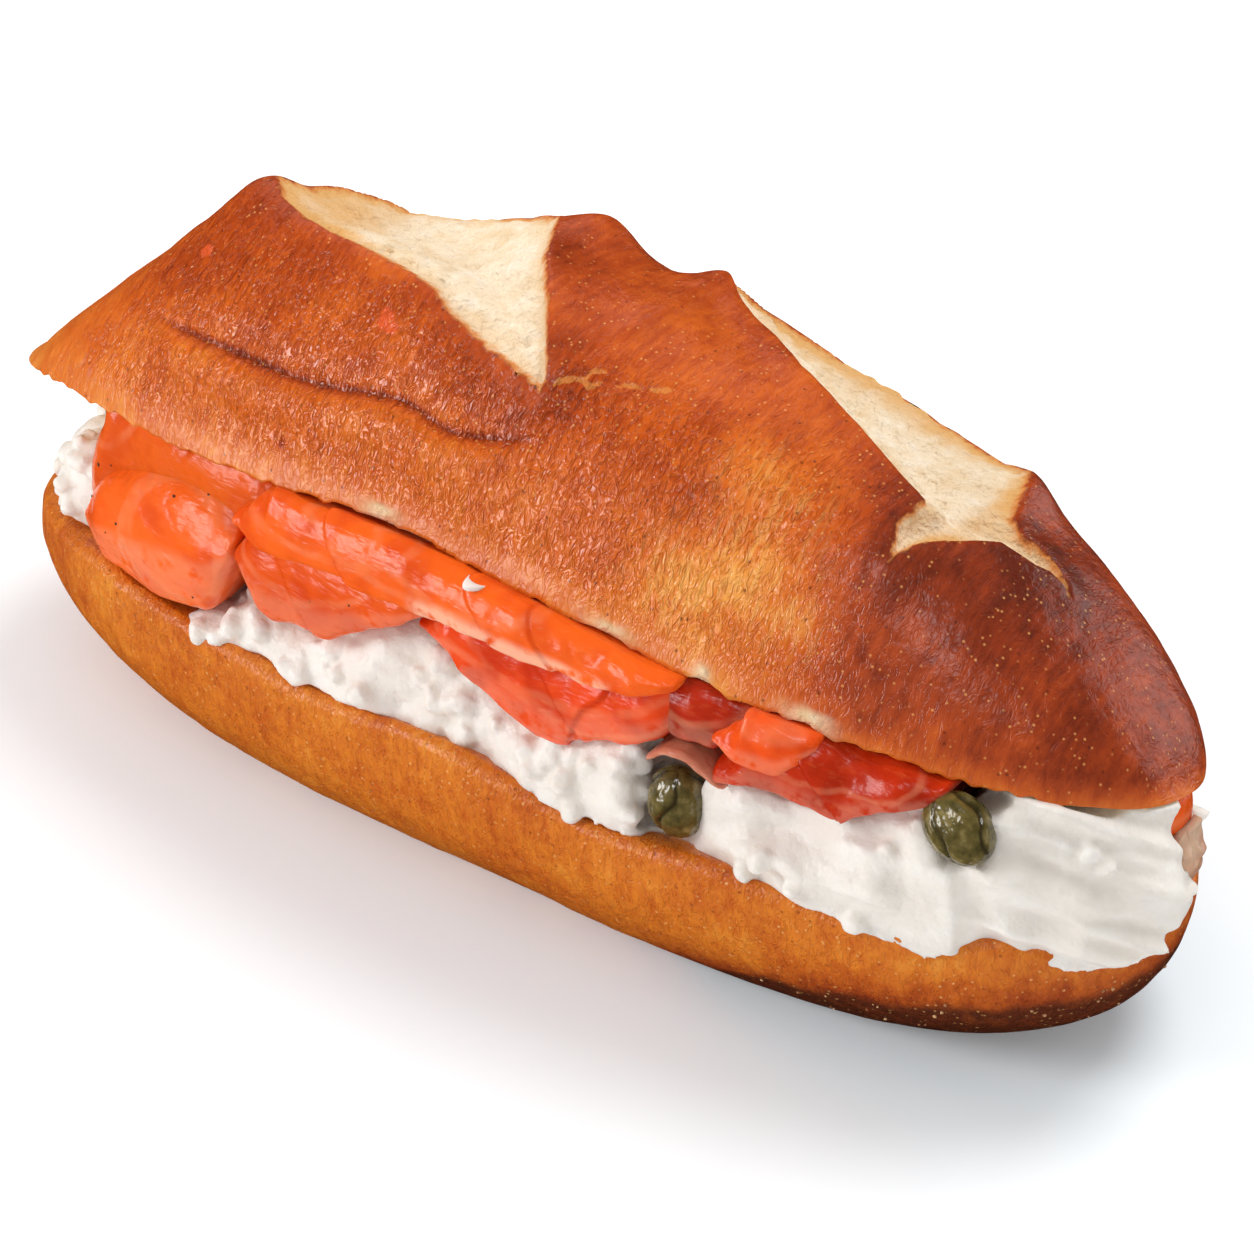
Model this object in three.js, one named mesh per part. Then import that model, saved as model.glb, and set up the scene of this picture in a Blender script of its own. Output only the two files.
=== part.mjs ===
// Split pretzel stick roll filled with soft cheese, smoked salmon slices and two capers.
// Units are millimetres. +Z is up, the flat base of the roll lies on z = 0, +X runs along
// the roll and -Y is the side on which the roll stands open.
import * as THREE from 'three';

// ---- colours -----------------------------------------------------------------------
const CRUST_DARK = 0x8f431a;
const CRUST_GOLD = 0xb06f2a;
const CHEESE_WHITE = 0xf2efe8;
const SALMON_ORANGE = 0xe0562f;
const SALMON_RED = 0xcf4128;
const SALMON_SKIN = 0xb07a68;
const CAPER_GREEN = 0x55593a;

// ---- overall sizes -----------------------------------------------------------------
const BASE_LEFT = 89.5;          // bottom half: reach of the left end from the middle
const BASE_RIGHT = 85.0;         // bottom half: reach of the right end
const BASE_HALF_WIDTH = 31.0;    // bottom half: half of its width at the cut
const BASE_HEIGHT = 23.0;        // height of the cut of the bottom half
const TURN_IN_LEFT = 7.2;        // how far the wall curves in at the foot of each end
const TURN_IN_RIGHT = 9.3;
const END_FULLNESS_LEFT = 3.0;   // superellipse exponents of the two ends
const END_FULLNESS_RIGHT = 2.5;

const LID_LEFT = 93.0;           // top half: reach of the left end
const LID_RIGHT = 84.0;          // top half: reach of the right end
const LID_FRONT = 29.3;          // top half: half width to the open side
const LID_BACK = 31.5;           // top half: half width to the closed side
const LID_TILT = 20 * Math.PI / 180;
const HINGE_Y = 31.0;            // line the top half is tilted about
const HINGE_Z = 28.5;
const GAP = 0.35;                // clearance kept between touching pieces

// height of the top half above its cut, along the roll
const LID_RIDGE = [
  [-93, 0], [-87, 5.9], [-78, 14.6], [-68, 24.3], [-58, 30.8], [-46, 34.6], [-30, 37.1],
  [-12, 37.2], [6, 36.3], [22, 34.9], [38, 31.1], [52, 25.8], [64, 19.3], [74, 10.9],
  [81, 3.8], [84, 0],
];
// plan outlines of the two diagonal slashes, in the frame of the top half
const SLASH_LEFT = [
  [-3, -22.6], [-7, -22], [-12, -21.3], [-20, -19.6], [-25, -17.7], [-34, -16.1],
  [-44, -14], [-50, -11.8], [-56, -8.7], [-60, -4], [-61, 4], [-59, 12], [-54, 18],
  [-44, 19], [-33, 15], [-25, 9], [-22, 3.8], [-16.3, -6.3], [-14, -9.3], [-10, -13.7],
  [-5.5, -18.8], [-3.4, -20.9],
];
const SLASH_RIGHT = [
  [0, 10], [9.5, 3.7], [14.7, 0.9], [21.5, -3.9], [29.4, -6.8], [38, -8.9], [45.9, -11.1],
  [45.2, -14.9], [47.2, -18.8], [49, -15.1], [52, -11.3], [55, -6.5], [59, -4.4], [62, -1],
  [58.5, -0.4], [55.5, -2.2], [53.2, -0.6], [49.5, 8.1], [47, 13], [41, 19], [29, 22],
  [14, 21.5], [3, 17], [-1.5, 13],
];
const SLASH_DEPTH = [4.2, 4.4];
// raised corners of crust beside the slashes: x, y, rise, spread
const CRUST_EARS = [
  [-60, -6, 3.4, 6.5], [-20, 8, 3.2, 6], [0.5, 9.5, 2.2, 5.5], [49.5, 11, 2.4, 5.5],
  [46.5, -10.5, 0.9, 3],
];
// long shallow fold low on the open side of the crust
const CRUST_FOLD = [
  [-62, -22, 13.6], [-48, -24.8, 14.6], [-33.5, -26.1, 15.6], [-21, -26.1, 17.9],
  [-12.7, -26.7, 17], [-2.5, -25.8, 19.5],
];
// height of the soft cheese above the cut, along the open side
const CHEESE_FRONT = [
  [-90, 10], [-84, 14], [-78, 19], [-75, 18], [-72, 8], [-69.5, 2.2], [-46, 2.2], [-41, 6.5],
  [-31, 8], [-25, 10], [-18, 14], [-12, 15.5], [-7, 14.5], [-2, 12], [5, 9], [11, 9],
  [17, 12.5], [23, 15], [35, 15], [41, 16.5], [52, 17], [58, 18], [66, 18], [72, 22], [90, 24],
];
const CHEESE_INNER = [
  [-90, 12], [-80, 13], [-74, 8], [-68, 5.4], [-58, 6.2], [-40, 7.5], [0, 8], [40, 9], [56, 10],
  [62, 12.5], [68, 19], [74, 24], [90, 24],
];
// hollows in the cheese that the capers sit in: x, y, radius, floor height
const CHEESE_HOLLOWS = [[28.5, -24.5, 7.2, 24.0], [66.5, -20.5, 7.0, 34.2]];
// lobes of the upper spread that show under the front rim: x, half width, reach
const UPPER_LOBES = [[-39, 3, 3], [-1, 3.5, 4], [21, 3, 3.6], [47, 3.5, 3]];
const UPPER_SPREAD = [-46, 55];

// Salmon slices. Each row is x, lower and upper height at the open side; nose is how far
// out the fold reaches as a share of the half width, back is where it ends inside.
const SALMON = [
  {
    name: 'salmon_big_fold', nose: 1.0, back: 8, round: 5.5, colour: SALMON_ORANGE,
    rows: [
      [-69.8, 29, 33], [-68.8, 26.6, 37.5], [-66, 25.8, 40.5], [-61, 25.6, 42], [-55, 25.6, 43.6],
      [-49, 25.8, 46], [-45, 27.5, 46.2], [-42.8, 31, 44.6], [-41.6, 36, 40],
    ],
  },
  {
    name: 'salmon_back_sheet', nose: 0.84, back: 12, round: 1.6, colour: SALMON_ORANGE,
    rows: [
      [-69, 43.6, 45], [-67, 42.6, 46.6], [-62, 43.4, 47], [-56, 44.9, 47.4], [-50, 46.9, 47.9],
      [-46, 47.3, 47.9],
    ],
  },
  {
    name: 'salmon_long_fold', nose: 0.97, back: 10, round: 4, colour: SALMON_ORANGE,
    rows: [
      [-41.2, 42.5, 44], [-40, 40.4, 46.5], [-37, 38.9, 48.6], [-32, 38.6, 49.6], [-25, 39.4, 50.2],
      [-16, 41, 50.6], [-8, 42, 50.7], [3, 41.4, 50.6], [10, 41.8, 50.3], [17, 43.4, 49.6],
      [22, 45.4, 48.8], [26, 46.8, 47.8],
    ],
  },
  {
    name: 'salmon_lower_fold', nose: 0.98, back: 4, round: 3, colour: SALMON_ORANGE,
    rows: [
      [-41.2, 33, 34.5], [-40, 30.6, 37], [-36, 30, 37.3], [-30, 30.5, 37.4], [-25, 32, 38],
      [-20, 35.6, 39], [-16, 37.6, 39.6], [-12.5, 38.8, 39.8],
    ],
  },
  {
    name: 'salmon_middle_slice', nose: 0.92, back: 6, round: 2.6, colour: SALMON_RED,
    rows: [
      [-10, 38.5, 39.6], [-7, 37.2, 40.4], [-2, 34.5, 40.3], [4, 31.9, 40.2], [10, 31.9, 40.6],
      [16, 34.8, 41.8], [21, 37.8, 43.4], [25, 40.4, 45], [27, 42.6, 44.6],
    ],
  },
  {
    name: 'salmon_dark_slice', nose: 0.93, back: 8, round: 2.6, colour: SALMON_RED,
    rows: [
      [27.8, 42, 45], [29, 40.4, 46.6], [31, 40.2, 47.3], [34, 39.6, 47.4], [36, 41, 46.4],
      [37.2, 43, 44.6],
    ],
  },
  {
    name: 'salmon_small_fold', nose: 0.97, back: 6, round: 2.6, colour: SALMON_ORANGE,
    rows: [
      [37.9, 42.4, 44], [39, 40.8, 46], [41, 40.6, 46.6], [43, 42, 46.6], [45, 44, 46.6],
      [47, 45.6, 46.4],
    ],
  },
  {
    name: 'salmon_right_sheet', nose: 0.92, back: -6, round: 1.8, colour: SALMON_ORANGE,
    rows: [
      [37.6, 37.9, 38.7], [39, 37.6, 38.8], [42, 37.6, 39.5], [45, 37.8, 41.4], [48, 38, 44.2],
      [52, 38.4, 45.4], [56, 40, 45.8], [60, 42, 45.8], [63, 43.4, 45.4], [65, 44.4, 45],
    ],
  },
  {
    name: 'salmon_skin_strip', nose: 0.93, back: -12, round: 0.7, colour: SALMON_SKIN,
    rows: [
      [24, 36.2, 37], [26, 36.8, 38], [29, 37.8, 38.9], [32, 37.7, 38.8], [34.5, 36.6, 37.7],
      [36, 35.8, 36.6],
    ],
  },
];

// ---- small maths helpers -----------------------------------------------------------
const clamp = (v, lo, hi) => Math.min(hi, Math.max(lo, v));
const mix = (a, b, t) => a + (b - a) * t;
const smooth = (lo, hi, v) => {
  const t = clamp((v - lo) / (hi - lo), 0, 1);
  return t * t * (3 - 2 * t);
};
const signedPower = (v, n) => Math.sign(v) * Math.pow(Math.abs(v), n);

function lookup(table, x) {
  if (x <= table[0][0]) return table[0][1];
  for (let i = 1; i < table.length; i++) {
    if (x <= table[i][0]) {
      const [x0, y0] = table[i - 1];
      const [x1, y1] = table[i];
      const t = (x - x0) / (x1 - x0);
      const slope = (j) => {
        const a = table[clamp(j - 1, 0, table.length - 1)];
        const b = table[clamp(j + 1, 0, table.length - 1)];
        return (b[1] - a[1]) / (b[0] - a[0]);
      };
      const m0 = slope(i - 1) * (x1 - x0);
      const m1 = slope(i) * (x1 - x0);
      const t2 = t * t;
      const t3 = t2 * t;
      const v = (2 * t3 - 3 * t2 + 1) * y0 + (t3 - 2 * t2 + t) * m0
        + (3 * t2 - 2 * t3) * y1 + (t3 - t2) * m1;
      return clamp(v, Math.min(y0, y1), Math.max(y0, y1));
    }
  }
  return table[table.length - 1][1];
}

function lattice(i, j, k) {
  const v = Math.sin(i * 127.1 + j * 311.7 + k * 74.7) * 43758.5453;
  return v - Math.floor(v);
}

// smooth random value in -1 .. 1 at a point
function noise(x, y, z) {
  const i = Math.floor(x);
  const j = Math.floor(y);
  const k = Math.floor(z);
  const ease = (t) => t * t * (3 - 2 * t);
  const u = ease(x - i);
  const v = ease(y - j);
  const w = ease(z - k);
  const edge = (a, b) => mix(lattice(i, j + a, k + b), lattice(i + 1, j + a, k + b), u);
  return mix(mix(edge(0, 0), edge(1, 0), v), mix(edge(0, 1), edge(1, 1), v), w) * 2 - 1;
}

// distance from a plan outline, positive inside it
function insideDistance(outline, x, y) {
  let nearest = Infinity;
  let inside = false;
  for (let i = 0; i < outline.length; i++) {
    const [x0, y0] = outline[i];
    const [x1, y1] = outline[(i + 1) % outline.length];
    const dx = x1 - x0;
    const dy = y1 - y0;
    const t = clamp(((x - x0) * dx + (y - y0) * dy) / (dx * dx + dy * dy), 0, 1);
    nearest = Math.min(nearest, Math.hypot(x - x0 - t * dx, y - y0 - t * dy));
    if ((y0 > y) !== (y1 > y) && x < x0 + dx * (y - y0) / dy) inside = !inside;
  }
  return inside ? nearest : -nearest;
}

function distanceToLine(line, p) {
  let nearest = Infinity;
  for (let i = 1; i < line.length; i++) {
    const a = new THREE.Vector3(...line[i - 1]);
    const b = new THREE.Vector3(...line[i]);
    const closest = new THREE.Line3(a, b).closestPointToPoint(p, true, new THREE.Vector3());
    nearest = Math.min(nearest, closest.distanceTo(p));
  }
  return nearest;
}

// ---- mesh helpers ------------------------------------------------------------------
// closed skin over rings of points, with one point closing each end
function skin(name, rings, first, last, colour, roughness) {
  const count = rings[0].length;
  const points = [first, ...rings.flat(), last];
  const faces = [];
  const at = (r, i) => 1 + r * count + (i % count);
  const end = points.length - 1;
  for (let i = 0; i < count; i++) {
    faces.push([0, at(0, i + 1), at(0, i)]);
    faces.push([end, at(rings.length - 1, i), at(rings.length - 1, i + 1)]);
    for (let r = 1; r < rings.length; r++) {
      const [a, b] = [at(r - 1, i), at(r - 1, i + 1)];
      const [c, d] = [at(r, i), at(r, i + 1)];
      const ad = points[a].distanceTo(points[d]);
      const bc = points[b].distanceTo(points[c]);
      if (ad < bc) faces.push([a, b, d], [a, d, c]);
      else faces.push([a, b, c], [b, d, c]);
    }
  }
  let volume = 0;
  for (const [a, b, c] of faces) {
    volume += points[a].dot(new THREE.Vector3().crossVectors(points[b], points[c]));
  }
  const index = volume > 0 ? faces.flat() : faces.map(([a, b, c]) => [a, c, b]).flat();
  const geometry = new THREE.BufferGeometry();
  geometry.setAttribute('position', new THREE.Float32BufferAttribute(
    points.flatMap((p) => [p.x, p.y, p.z]), 3));
  geometry.setIndex(index);
  geometry.computeVertexNormals();
  const material = new THREE.MeshStandardMaterial({ color: colour, roughness, metalness: 0 });
  material.name = name + '_colour';
  const mesh = new THREE.Mesh(geometry, material);
  mesh.name = name;
  return mesh;
}

// ---- bottom half -------------------------------------------------------------------
function fullness(x) {
  return mix(END_FULLNESS_LEFT, END_FULLNESS_RIGHT, 0.5 + 0.5 * Math.tanh(3 * x));
}

function rimPoint(angle, left, right, front, back) {
  const c = Math.cos(angle);
  const s = Math.sin(angle);
  const n = fullness(c);
  return [
    (c < 0 ? left : right) * signedPower(c, 2 / n),
    (s < 0 ? front : back) * signedPower(s, 2 / n),
  ];
}

// angles that give equal steps along the rim
function evenAngles(count, left, right, half) {
  const fine = 1440;
  const lengths = [0];
  let previous = rimPoint(0, left, right, half, half);
  for (let i = 1; i <= fine; i++) {
    const next = rimPoint(2 * Math.PI * i / fine, left, right, half, half);
    lengths.push(lengths[i - 1] + Math.hypot(next[0] - previous[0], next[1] - previous[1]));
    previous = next;
  }
  const angles = [];
  for (let k = 0, i = 0; k < count; k++) {
    const target = lengths[fine] * k / count;
    while (lengths[i + 1] < target) i++;
    const part = (target - lengths[i]) / (lengths[i + 1] - lengths[i]);
    angles.push(2 * Math.PI * (i + part) / fine);
  }
  return angles;
}

function wallInset(x, z) {
  const t = clamp(z / BASE_HEIGHT, 0, 1);
  const turn = mix(TURN_IN_LEFT, TURN_IN_RIGHT, smooth(-60, 30, x));
  return turn * Math.pow(1 - t, 2.4) - 0.6 * Math.sin(Math.PI * t);
}

function bottomHalf() {
  const angles = evenAngles(76, BASE_LEFT, BASE_RIGHT, BASE_HALF_WIDTH);
  const length = BASE_LEFT + BASE_RIGHT;
  const rings = [];
  const ring = (extra, z, wave) => {
    const points = [];
    for (const angle of angles) {
      const [x, y] = rimPoint(angle, BASE_LEFT, BASE_RIGHT, BASE_HALF_WIDTH, BASE_HALF_WIDTH);
      const inset = extra + wallInset(x, z) + wave * noise(x / 17, y / 17, z / 9);
      points.push(new THREE.Vector3(
        x * (1 - 3.2 * inset / length), y * (1 - inset / BASE_HALF_WIDTH), z));
    }
    return points;
  };
  rings.push(ring(9, 0, 0));
  for (const z of [0, 0.8, 2.2, 4.5, 8, 12, 16, 19.5, 22]) {
    rings.push(ring(0, z, z > 1 ? 0.35 : 0));
  }
  rings.push(ring(0.7, BASE_HEIGHT, 0.2));
  rings.push(ring(14, BASE_HEIGHT, 0));
  return skin('bottom_half', rings, new THREE.Vector3(0, 0, 0),
    new THREE.Vector3(0, 0, BASE_HEIGHT), CRUST_GOLD, 0.5);
}

// ---- top half ----------------------------------------------------------------------
function lidHalfWidth(x, front) {
  const n = x < 0 ? END_FULLNESS_LEFT : END_FULLNESS_RIGHT;
  const reach = x < 0 ? LID_LEFT : LID_RIGHT;
  const t = clamp(Math.abs(x) / reach, 0, 1);
  return (front ? LID_FRONT : LID_BACK) * Math.pow(1 - Math.pow(t, n), 1 / n);
}

// lift of the front rim, which bows up along the middle and droops at the left end
function rimBow(x, y, z) {
  const along = Math.exp(-Math.pow((x + 14) / 34, 2));
  const bow = 3.4 * along * Math.pow(clamp(-y / LID_FRONT, 0, 1), 2);
  return (bow - 2.6 * smooth(-74, -93, x)) * (1 - z / 40);
}

function lidPoint(x, v) {
  const s = 0.5 + 0.5 * Math.tanh(2.2 * (x / 85 + 0.35));
  const p = 2.6 + 0.2 * s;
  const q = 0.72 - 0.17 * s;
  const y = lidHalfWidth(x, v < 0) * v;
  const z = lookup(LID_RIDGE, x) * Math.pow(Math.max(0, 1 - Math.pow(Math.abs(v), p)), q);
  return new THREE.Vector3(x, y, z + rimBow(x, y, z));
}

function crustRelief(p) {
  let relief = 0;
  [SLASH_LEFT, SLASH_RIGHT].forEach((outline, i) => {
    const s = insideDistance(outline, p.x, p.y);
    if (s > 0) relief -= 1.0 * smooth(0, 1.6, s) + SLASH_DEPTH[i] * smooth(0, 12, s) - 0.9;
    else relief += 0.9 * Math.exp(-Math.pow(s / 3.5, 2));
  });
  for (const [x, y, rise, spread] of CRUST_EARS) {
    relief += rise * Math.exp(-(Math.pow(p.x - x, 2) + Math.pow(p.y - y, 2)) / (spread * spread));
  }
  relief -= 0.9 * Math.exp(-Math.pow(distanceToLine(CRUST_FOLD, p) / 1.8, 2));
  relief += 0.45 * noise(p.x / 13 + 5, p.y / 13, p.z / 13);
  return relief;
}

function placeLid(p) {
  const y = p.y - HINGE_Y;
  const c = Math.cos(LID_TILT);
  const s = Math.sin(LID_TILT);
  return new THREE.Vector3(p.x, HINGE_Y + y * c + p.z * s, HINGE_Z - y * s + p.z * c);
}

// moves a point of the top half that lies close to a slash onto its edge
function snapToSlash(x, v) {
  const y = lidHalfWidth(x, v < 0) * v;
  if (v < -0.9 || v > 0.9) return [x, v];
  for (const outline of [SLASH_LEFT, SLASH_RIGHT]) {
    const s = insideDistance(outline, x, y);
    if (Math.abs(s) > 1.25) continue;
    const d = 0.05;
    const gx = (insideDistance(outline, x + d, y) - s) / d;
    const gy = (insideDistance(outline, x, y + d) - s) / d;
    const nx = x - gx * s;
    const ny = y - gy * s;
    return [nx, ny / lidHalfWidth(nx, ny < 0)];
  }
  return [x, v];
}

function topHalf() {
  const stations = 66;
  const across = 28;
  const rings = [];
  for (let i = 1; i < stations; i++) {
    const c = -Math.cos(Math.PI * (0.5 * i / stations + 0.5 * smoothTurn(i / stations)));
    const stationX = c * (c < 0 ? LID_LEFT : LID_RIGHT);
    const ring = [];
    for (let j = 0; j <= across; j++) {
      const [x, v] = snapToSlash(stationX, Math.sin((j / across - 0.5) * Math.PI));
      const p = lidPoint(x, v);
      const dx = 0.4;
      const dv = 0.01;
      const px = lidPoint(clamp(x + dx, -LID_LEFT, LID_RIGHT), v).sub(
        lidPoint(clamp(x - dx, -LID_LEFT, LID_RIGHT), v));
      const pv = lidPoint(x, clamp(v + dv, -1, 1)).sub(lidPoint(x, clamp(v - dv, -1, 1)));
      const normal = new THREE.Vector3().crossVectors(px, pv).normalize();
      const fade = smooth(0, 3.5, p.z - rimBow(p.x, p.y, 0)) * smooth(0, 5, LID_RIGHT - x);
      p.addScaledVector(normal, crustRelief(p) * fade);
      ring.push(placeLid(p));
    }
    for (const v of [0.7, 0.2, -0.3, -0.75]) {
      const y = lidHalfWidth(stationX, v < 0) * v;
      ring.push(placeLid(new THREE.Vector3(stationX, y, rimBow(stationX, y, 0))));
    }
    rings.push(ring);
  }
  const end = (x) => placeLid(new THREE.Vector3(x, 0, rimBow(x, 0, 0)));
  return skin('top_half', rings, end(-LID_LEFT), end(LID_RIGHT), CRUST_DARK, 0.35);
}

// spacing that closes up towards both ends
function smoothTurn(t) {
  return t * t * (3 - 2 * t);
}

// height of the cut face of the top half above the base
function cutFace(x, y) {
  const inner = HINGE_Y - (HINGE_Y - y) / Math.cos(LID_TILT);
  return HINGE_Z + (HINGE_Y - y) * Math.tan(LID_TILT) + rimBow(x, Math.max(inner, -29), 0);
}

// ---- soft cheese -------------------------------------------------------------------
const CHEESE_LEFT = BASE_LEFT - 1.4;
const CHEESE_RIGHT = BASE_RIGHT - 0.2;
const CHEESE_HALF_WIDTH = BASE_HALF_WIDTH - 0.7;

function cheeseRadius(x, y) {
  const n = fullness(x / 30);
  const reach = x < 0 ? CHEESE_LEFT : CHEESE_RIGHT;
  return Math.pow(Math.pow(Math.abs(x) / reach, n)
    + Math.pow(Math.abs(y) / CHEESE_HALF_WIDTH, n), 1 / n);
}

// top of the cheese without the hollows
function cheeseTop(x, y) {
  const r = clamp(cheeseRadius(x, y), 0, 1);
  const inner = smooth(-19, -7, y);
  const height = mix(lookup(CHEESE_FRONT, x), lookup(CHEESE_INNER, x), inner);
  const edge = Math.pow(1 - Math.pow(r, 8), 0.5);
  const ledge = smooth(71, 75.5, x) * smooth(-7, -2.5, y) * smooth(15, 12, y);
  const z = BASE_HEIGHT + GAP + 0.4 + Math.min(height * edge, mix(40, 4.2, ledge));
  return Math.min(z, cutFace(x, y) - GAP - 0.1);
}

function cheeseSurface(x, y) {
  let z = cheeseTop(x, y);
  for (const [hx, hy, radius, floor] of CHEESE_HOLLOWS) {
    const d = Math.hypot(x - hx, y - hy);
    z = mix(Math.min(z, floor), z, smooth(radius * 0.72, radius, d));
  }
  return z;
}

function cheese() {
  const angles = evenAngles(104, CHEESE_LEFT, CHEESE_RIGHT, CHEESE_HALF_WIDTH);
  const ring = (r, z) => angles.map((angle) => {
    const [x, y] = rimPoint(angle, CHEESE_LEFT, CHEESE_RIGHT, CHEESE_HALF_WIDTH,
      CHEESE_HALF_WIDTH);
    const spill = 1 + 0.045 * smooth(0.85, 1, r) * smooth(44, 66, x) * smooth(-3, -9, y);
    return new THREE.Vector3(x * r * spill, y * r * spill, z(x * r, y * r));
  });
  const floor = () => BASE_HEIGHT + GAP;
  const rings = [ring(0.5, floor), ring(0.985, floor)];
  for (const r of [0.998, 0.98, 0.945, 0.9, 0.845, 0.78, 0.7, 0.6, 0.46, 0.26]) {
    rings.push(ring(r, (x, y) => {
      const lumps = 0.55 * noise(x / 5, y / 5, 3) * smooth(0.5, 0.9, r);
      return Math.min(cheeseSurface(x, y) + lumps * (y < -14 || Math.abs(x) > 70 ? 1 : 0),
        cutFace(x, y) - GAP);
    }));
  }
  return skin('soft_cheese', rings, new THREE.Vector3(0, 0, floor()),
    new THREE.Vector3(0, 0, cheeseSurface(0, 0)), CHEESE_WHITE, 0.55);
}

// ---- salmon, upper spread ----------------------------------------------------------
// height at a share w of the way from the cheese to the cut face above it
function between(x, y, w) {
  const low = cheeseTop(x, y) + 1.35;
  const high = cutFace(x, y) - GAP - 0.15;
  return mix(Math.min(low, high - 0.2), high, w);
}

function shareAt(x, y, z) {
  const low = between(x, y, 0);
  return clamp((z - low) / (between(x, y, 1) - low), 0.005, 0.925);
}

function openSide(x) {
  const n = x < 0 ? END_FULLNESS_LEFT : END_FULLNESS_RIGHT;
  const reach = x < 0 ? BASE_LEFT : BASE_RIGHT;
  return -BASE_HALF_WIDTH * Math.pow(1 - Math.pow(Math.abs(x) / reach, n), 1 / n);
}

function salmonSlice(slice) {
  const rows = slice.rows;
  const first = rows[0][0];
  const last = rows[rows.length - 1][0];
  const lows = rows.map(([x, low]) => [x, low]);
  const highs = rows.map(([x, , high]) => [x, high]);
  const stations = [first];
  for (let x = 2.5 * Math.ceil((first + 0.7) / 2.5); x < last - 0.7; x += 2.5) stations.push(x);
  stations.push(last);
  const rings = stations.map((x) => {
    const t = (x - first) / (last - first);
    const taper = Math.pow(clamp(Math.min(t, 1 - t) * (last - first) / 5, 0, 1), 0.5);
    const side = openSide(x);
    const low = shareAt(x, side * 0.86, lookup(lows, x));
    const high = Math.max(low + 0.04, shareAt(x, side * 0.86, lookup(highs, x)));
    const noseY = side * slice.nose + (1 - taper) * 2.5 + 0.4 * noise(x / 6, slice.back, 1);
    const backY = mix(noseY + 7, slice.back, taper);
    const nose = [];
    for (let j = 0; j <= 6; j++) {
      const a = Math.PI * (0.5 - j / 6);
      const w = mix(low, high, 0.5 + 0.5 * signedPower(Math.sin(a), 0.9));
      nose.push([noseY + slice.round * (1 - Math.cos(a)), w]);
    }
    const depths = [0.25, 0.6, 1].map((t) => mix(noseY + slice.round, backY, t));
    const under = depths.map((y) => [y, low]);
    const over = depths.map((y) => [y, high]).reverse();
    return [...nose, ...under, ...over].map(([y, w]) => new THREE.Vector3(x, y, between(x, y, w)));
  });
  const middle = (x, ring) => {
    const y = mix(ring[3].y, ring[9].y, 0.45);
    const side = openSide(x) * 0.86;
    const w = 0.5 * (shareAt(x, side, lookup(lows, x)) + shareAt(x, side, lookup(highs, x)));
    return new THREE.Vector3(x, y, between(x, y, w));
  };
  return skin(slice.name, rings, middle(first - 0.15, rings[0]),
    middle(last + 0.15, rings[rings.length - 1]), slice.colour, 0.35);
}

// small slice that sticks out past the right end of the cheese
function endTip() {
  const centre = new THREE.Vector3(81.2, 4.4, 32.8);
  const rings = [];
  for (let i = 1; i < 8; i++) {
    const a = Math.PI * i / 8;
    const ring = [];
    for (let j = 0; j < 12; j++) {
      const b = 2 * Math.PI * j / 12;
      const x = 2.2 * signedPower(Math.cos(b), 0.8) * Math.sin(a);
      const z = 4.3 * signedPower(Math.sin(b), 0.7) * Math.pow(Math.sin(a), 0.6);
      const y = -5.6 * Math.cos(a);
      ring.push(new THREE.Vector3(x - 0.035 * y * y, y, z - 0.12 * y).add(centre));
    }
    rings.push(ring);
  }
  const end = (y) => new THREE.Vector3(-0.035 * y * y, y, -0.12 * y).add(centre);
  return skin('salmon_end_tip', rings, end(-5.6), end(5.6), SALMON_ORANGE, 0.35);
}

function upperSpread() {
  const [first, last] = UPPER_SPREAD;
  const count = 40;
  const rings = [];
  for (let i = 0; i <= count; i++) {
    const x = mix(first, last, i / count);
    let front = openSide(x) * 0.8;
    for (const [lx, half, reach] of UPPER_LOBES) {
      front -= (reach + 1) * Math.exp(-Math.pow((x - lx) / half, 2));
    }
    const ring = [[front + 0.4, 0.955], [front, 0.975], [front + 0.4, 0.995], [-6, 0.995],
      [8, 0.995], [8.4, 0.975], [8, 0.955], [-6, 0.955]];
    rings.push(ring.map(([y, w]) => new THREE.Vector3(x, y, between(x, y, w))));
  }
  const end = (x) => new THREE.Vector3(x, -6, between(x, -6, 0.975));
  return skin('soft_cheese_upper', rings, end(first - 0.4), end(last + 0.4), CHEESE_WHITE, 0.55);
}

// ---- capers ------------------------------------------------------------------------
// flower bud: middle, radius, half length and direction of its long axis
function caper(name, middle, radius, half, axis) {
  const turn = new THREE.Quaternion().setFromUnitVectors(new THREE.Vector3(0, 0, 1),
    axis.normalize());
  const place = (p) => p.applyQuaternion(turn).add(middle);
  const around = 12;
  const levels = 9;
  const rings = [];
  for (let i = 1; i < levels; i++) {
    const a = Math.PI * i / levels;
    const ring = [];
    for (let j = 0; j < around; j++) {
      const b = 2 * Math.PI * j / around;
      const r = radius * Math.pow(Math.sin(a), 0.9) * (1 + 0.05 * Math.cos(4 * b + a));
      ring.push(place(new THREE.Vector3(r * Math.cos(b), r * Math.sin(b), -half * Math.cos(a))));
    }
    rings.push(ring);
  }
  return skin(name, rings, place(new THREE.Vector3(0, 0, -half)),
    place(new THREE.Vector3(0, 0, half)), CAPER_GREEN, 0.4);
}

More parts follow.
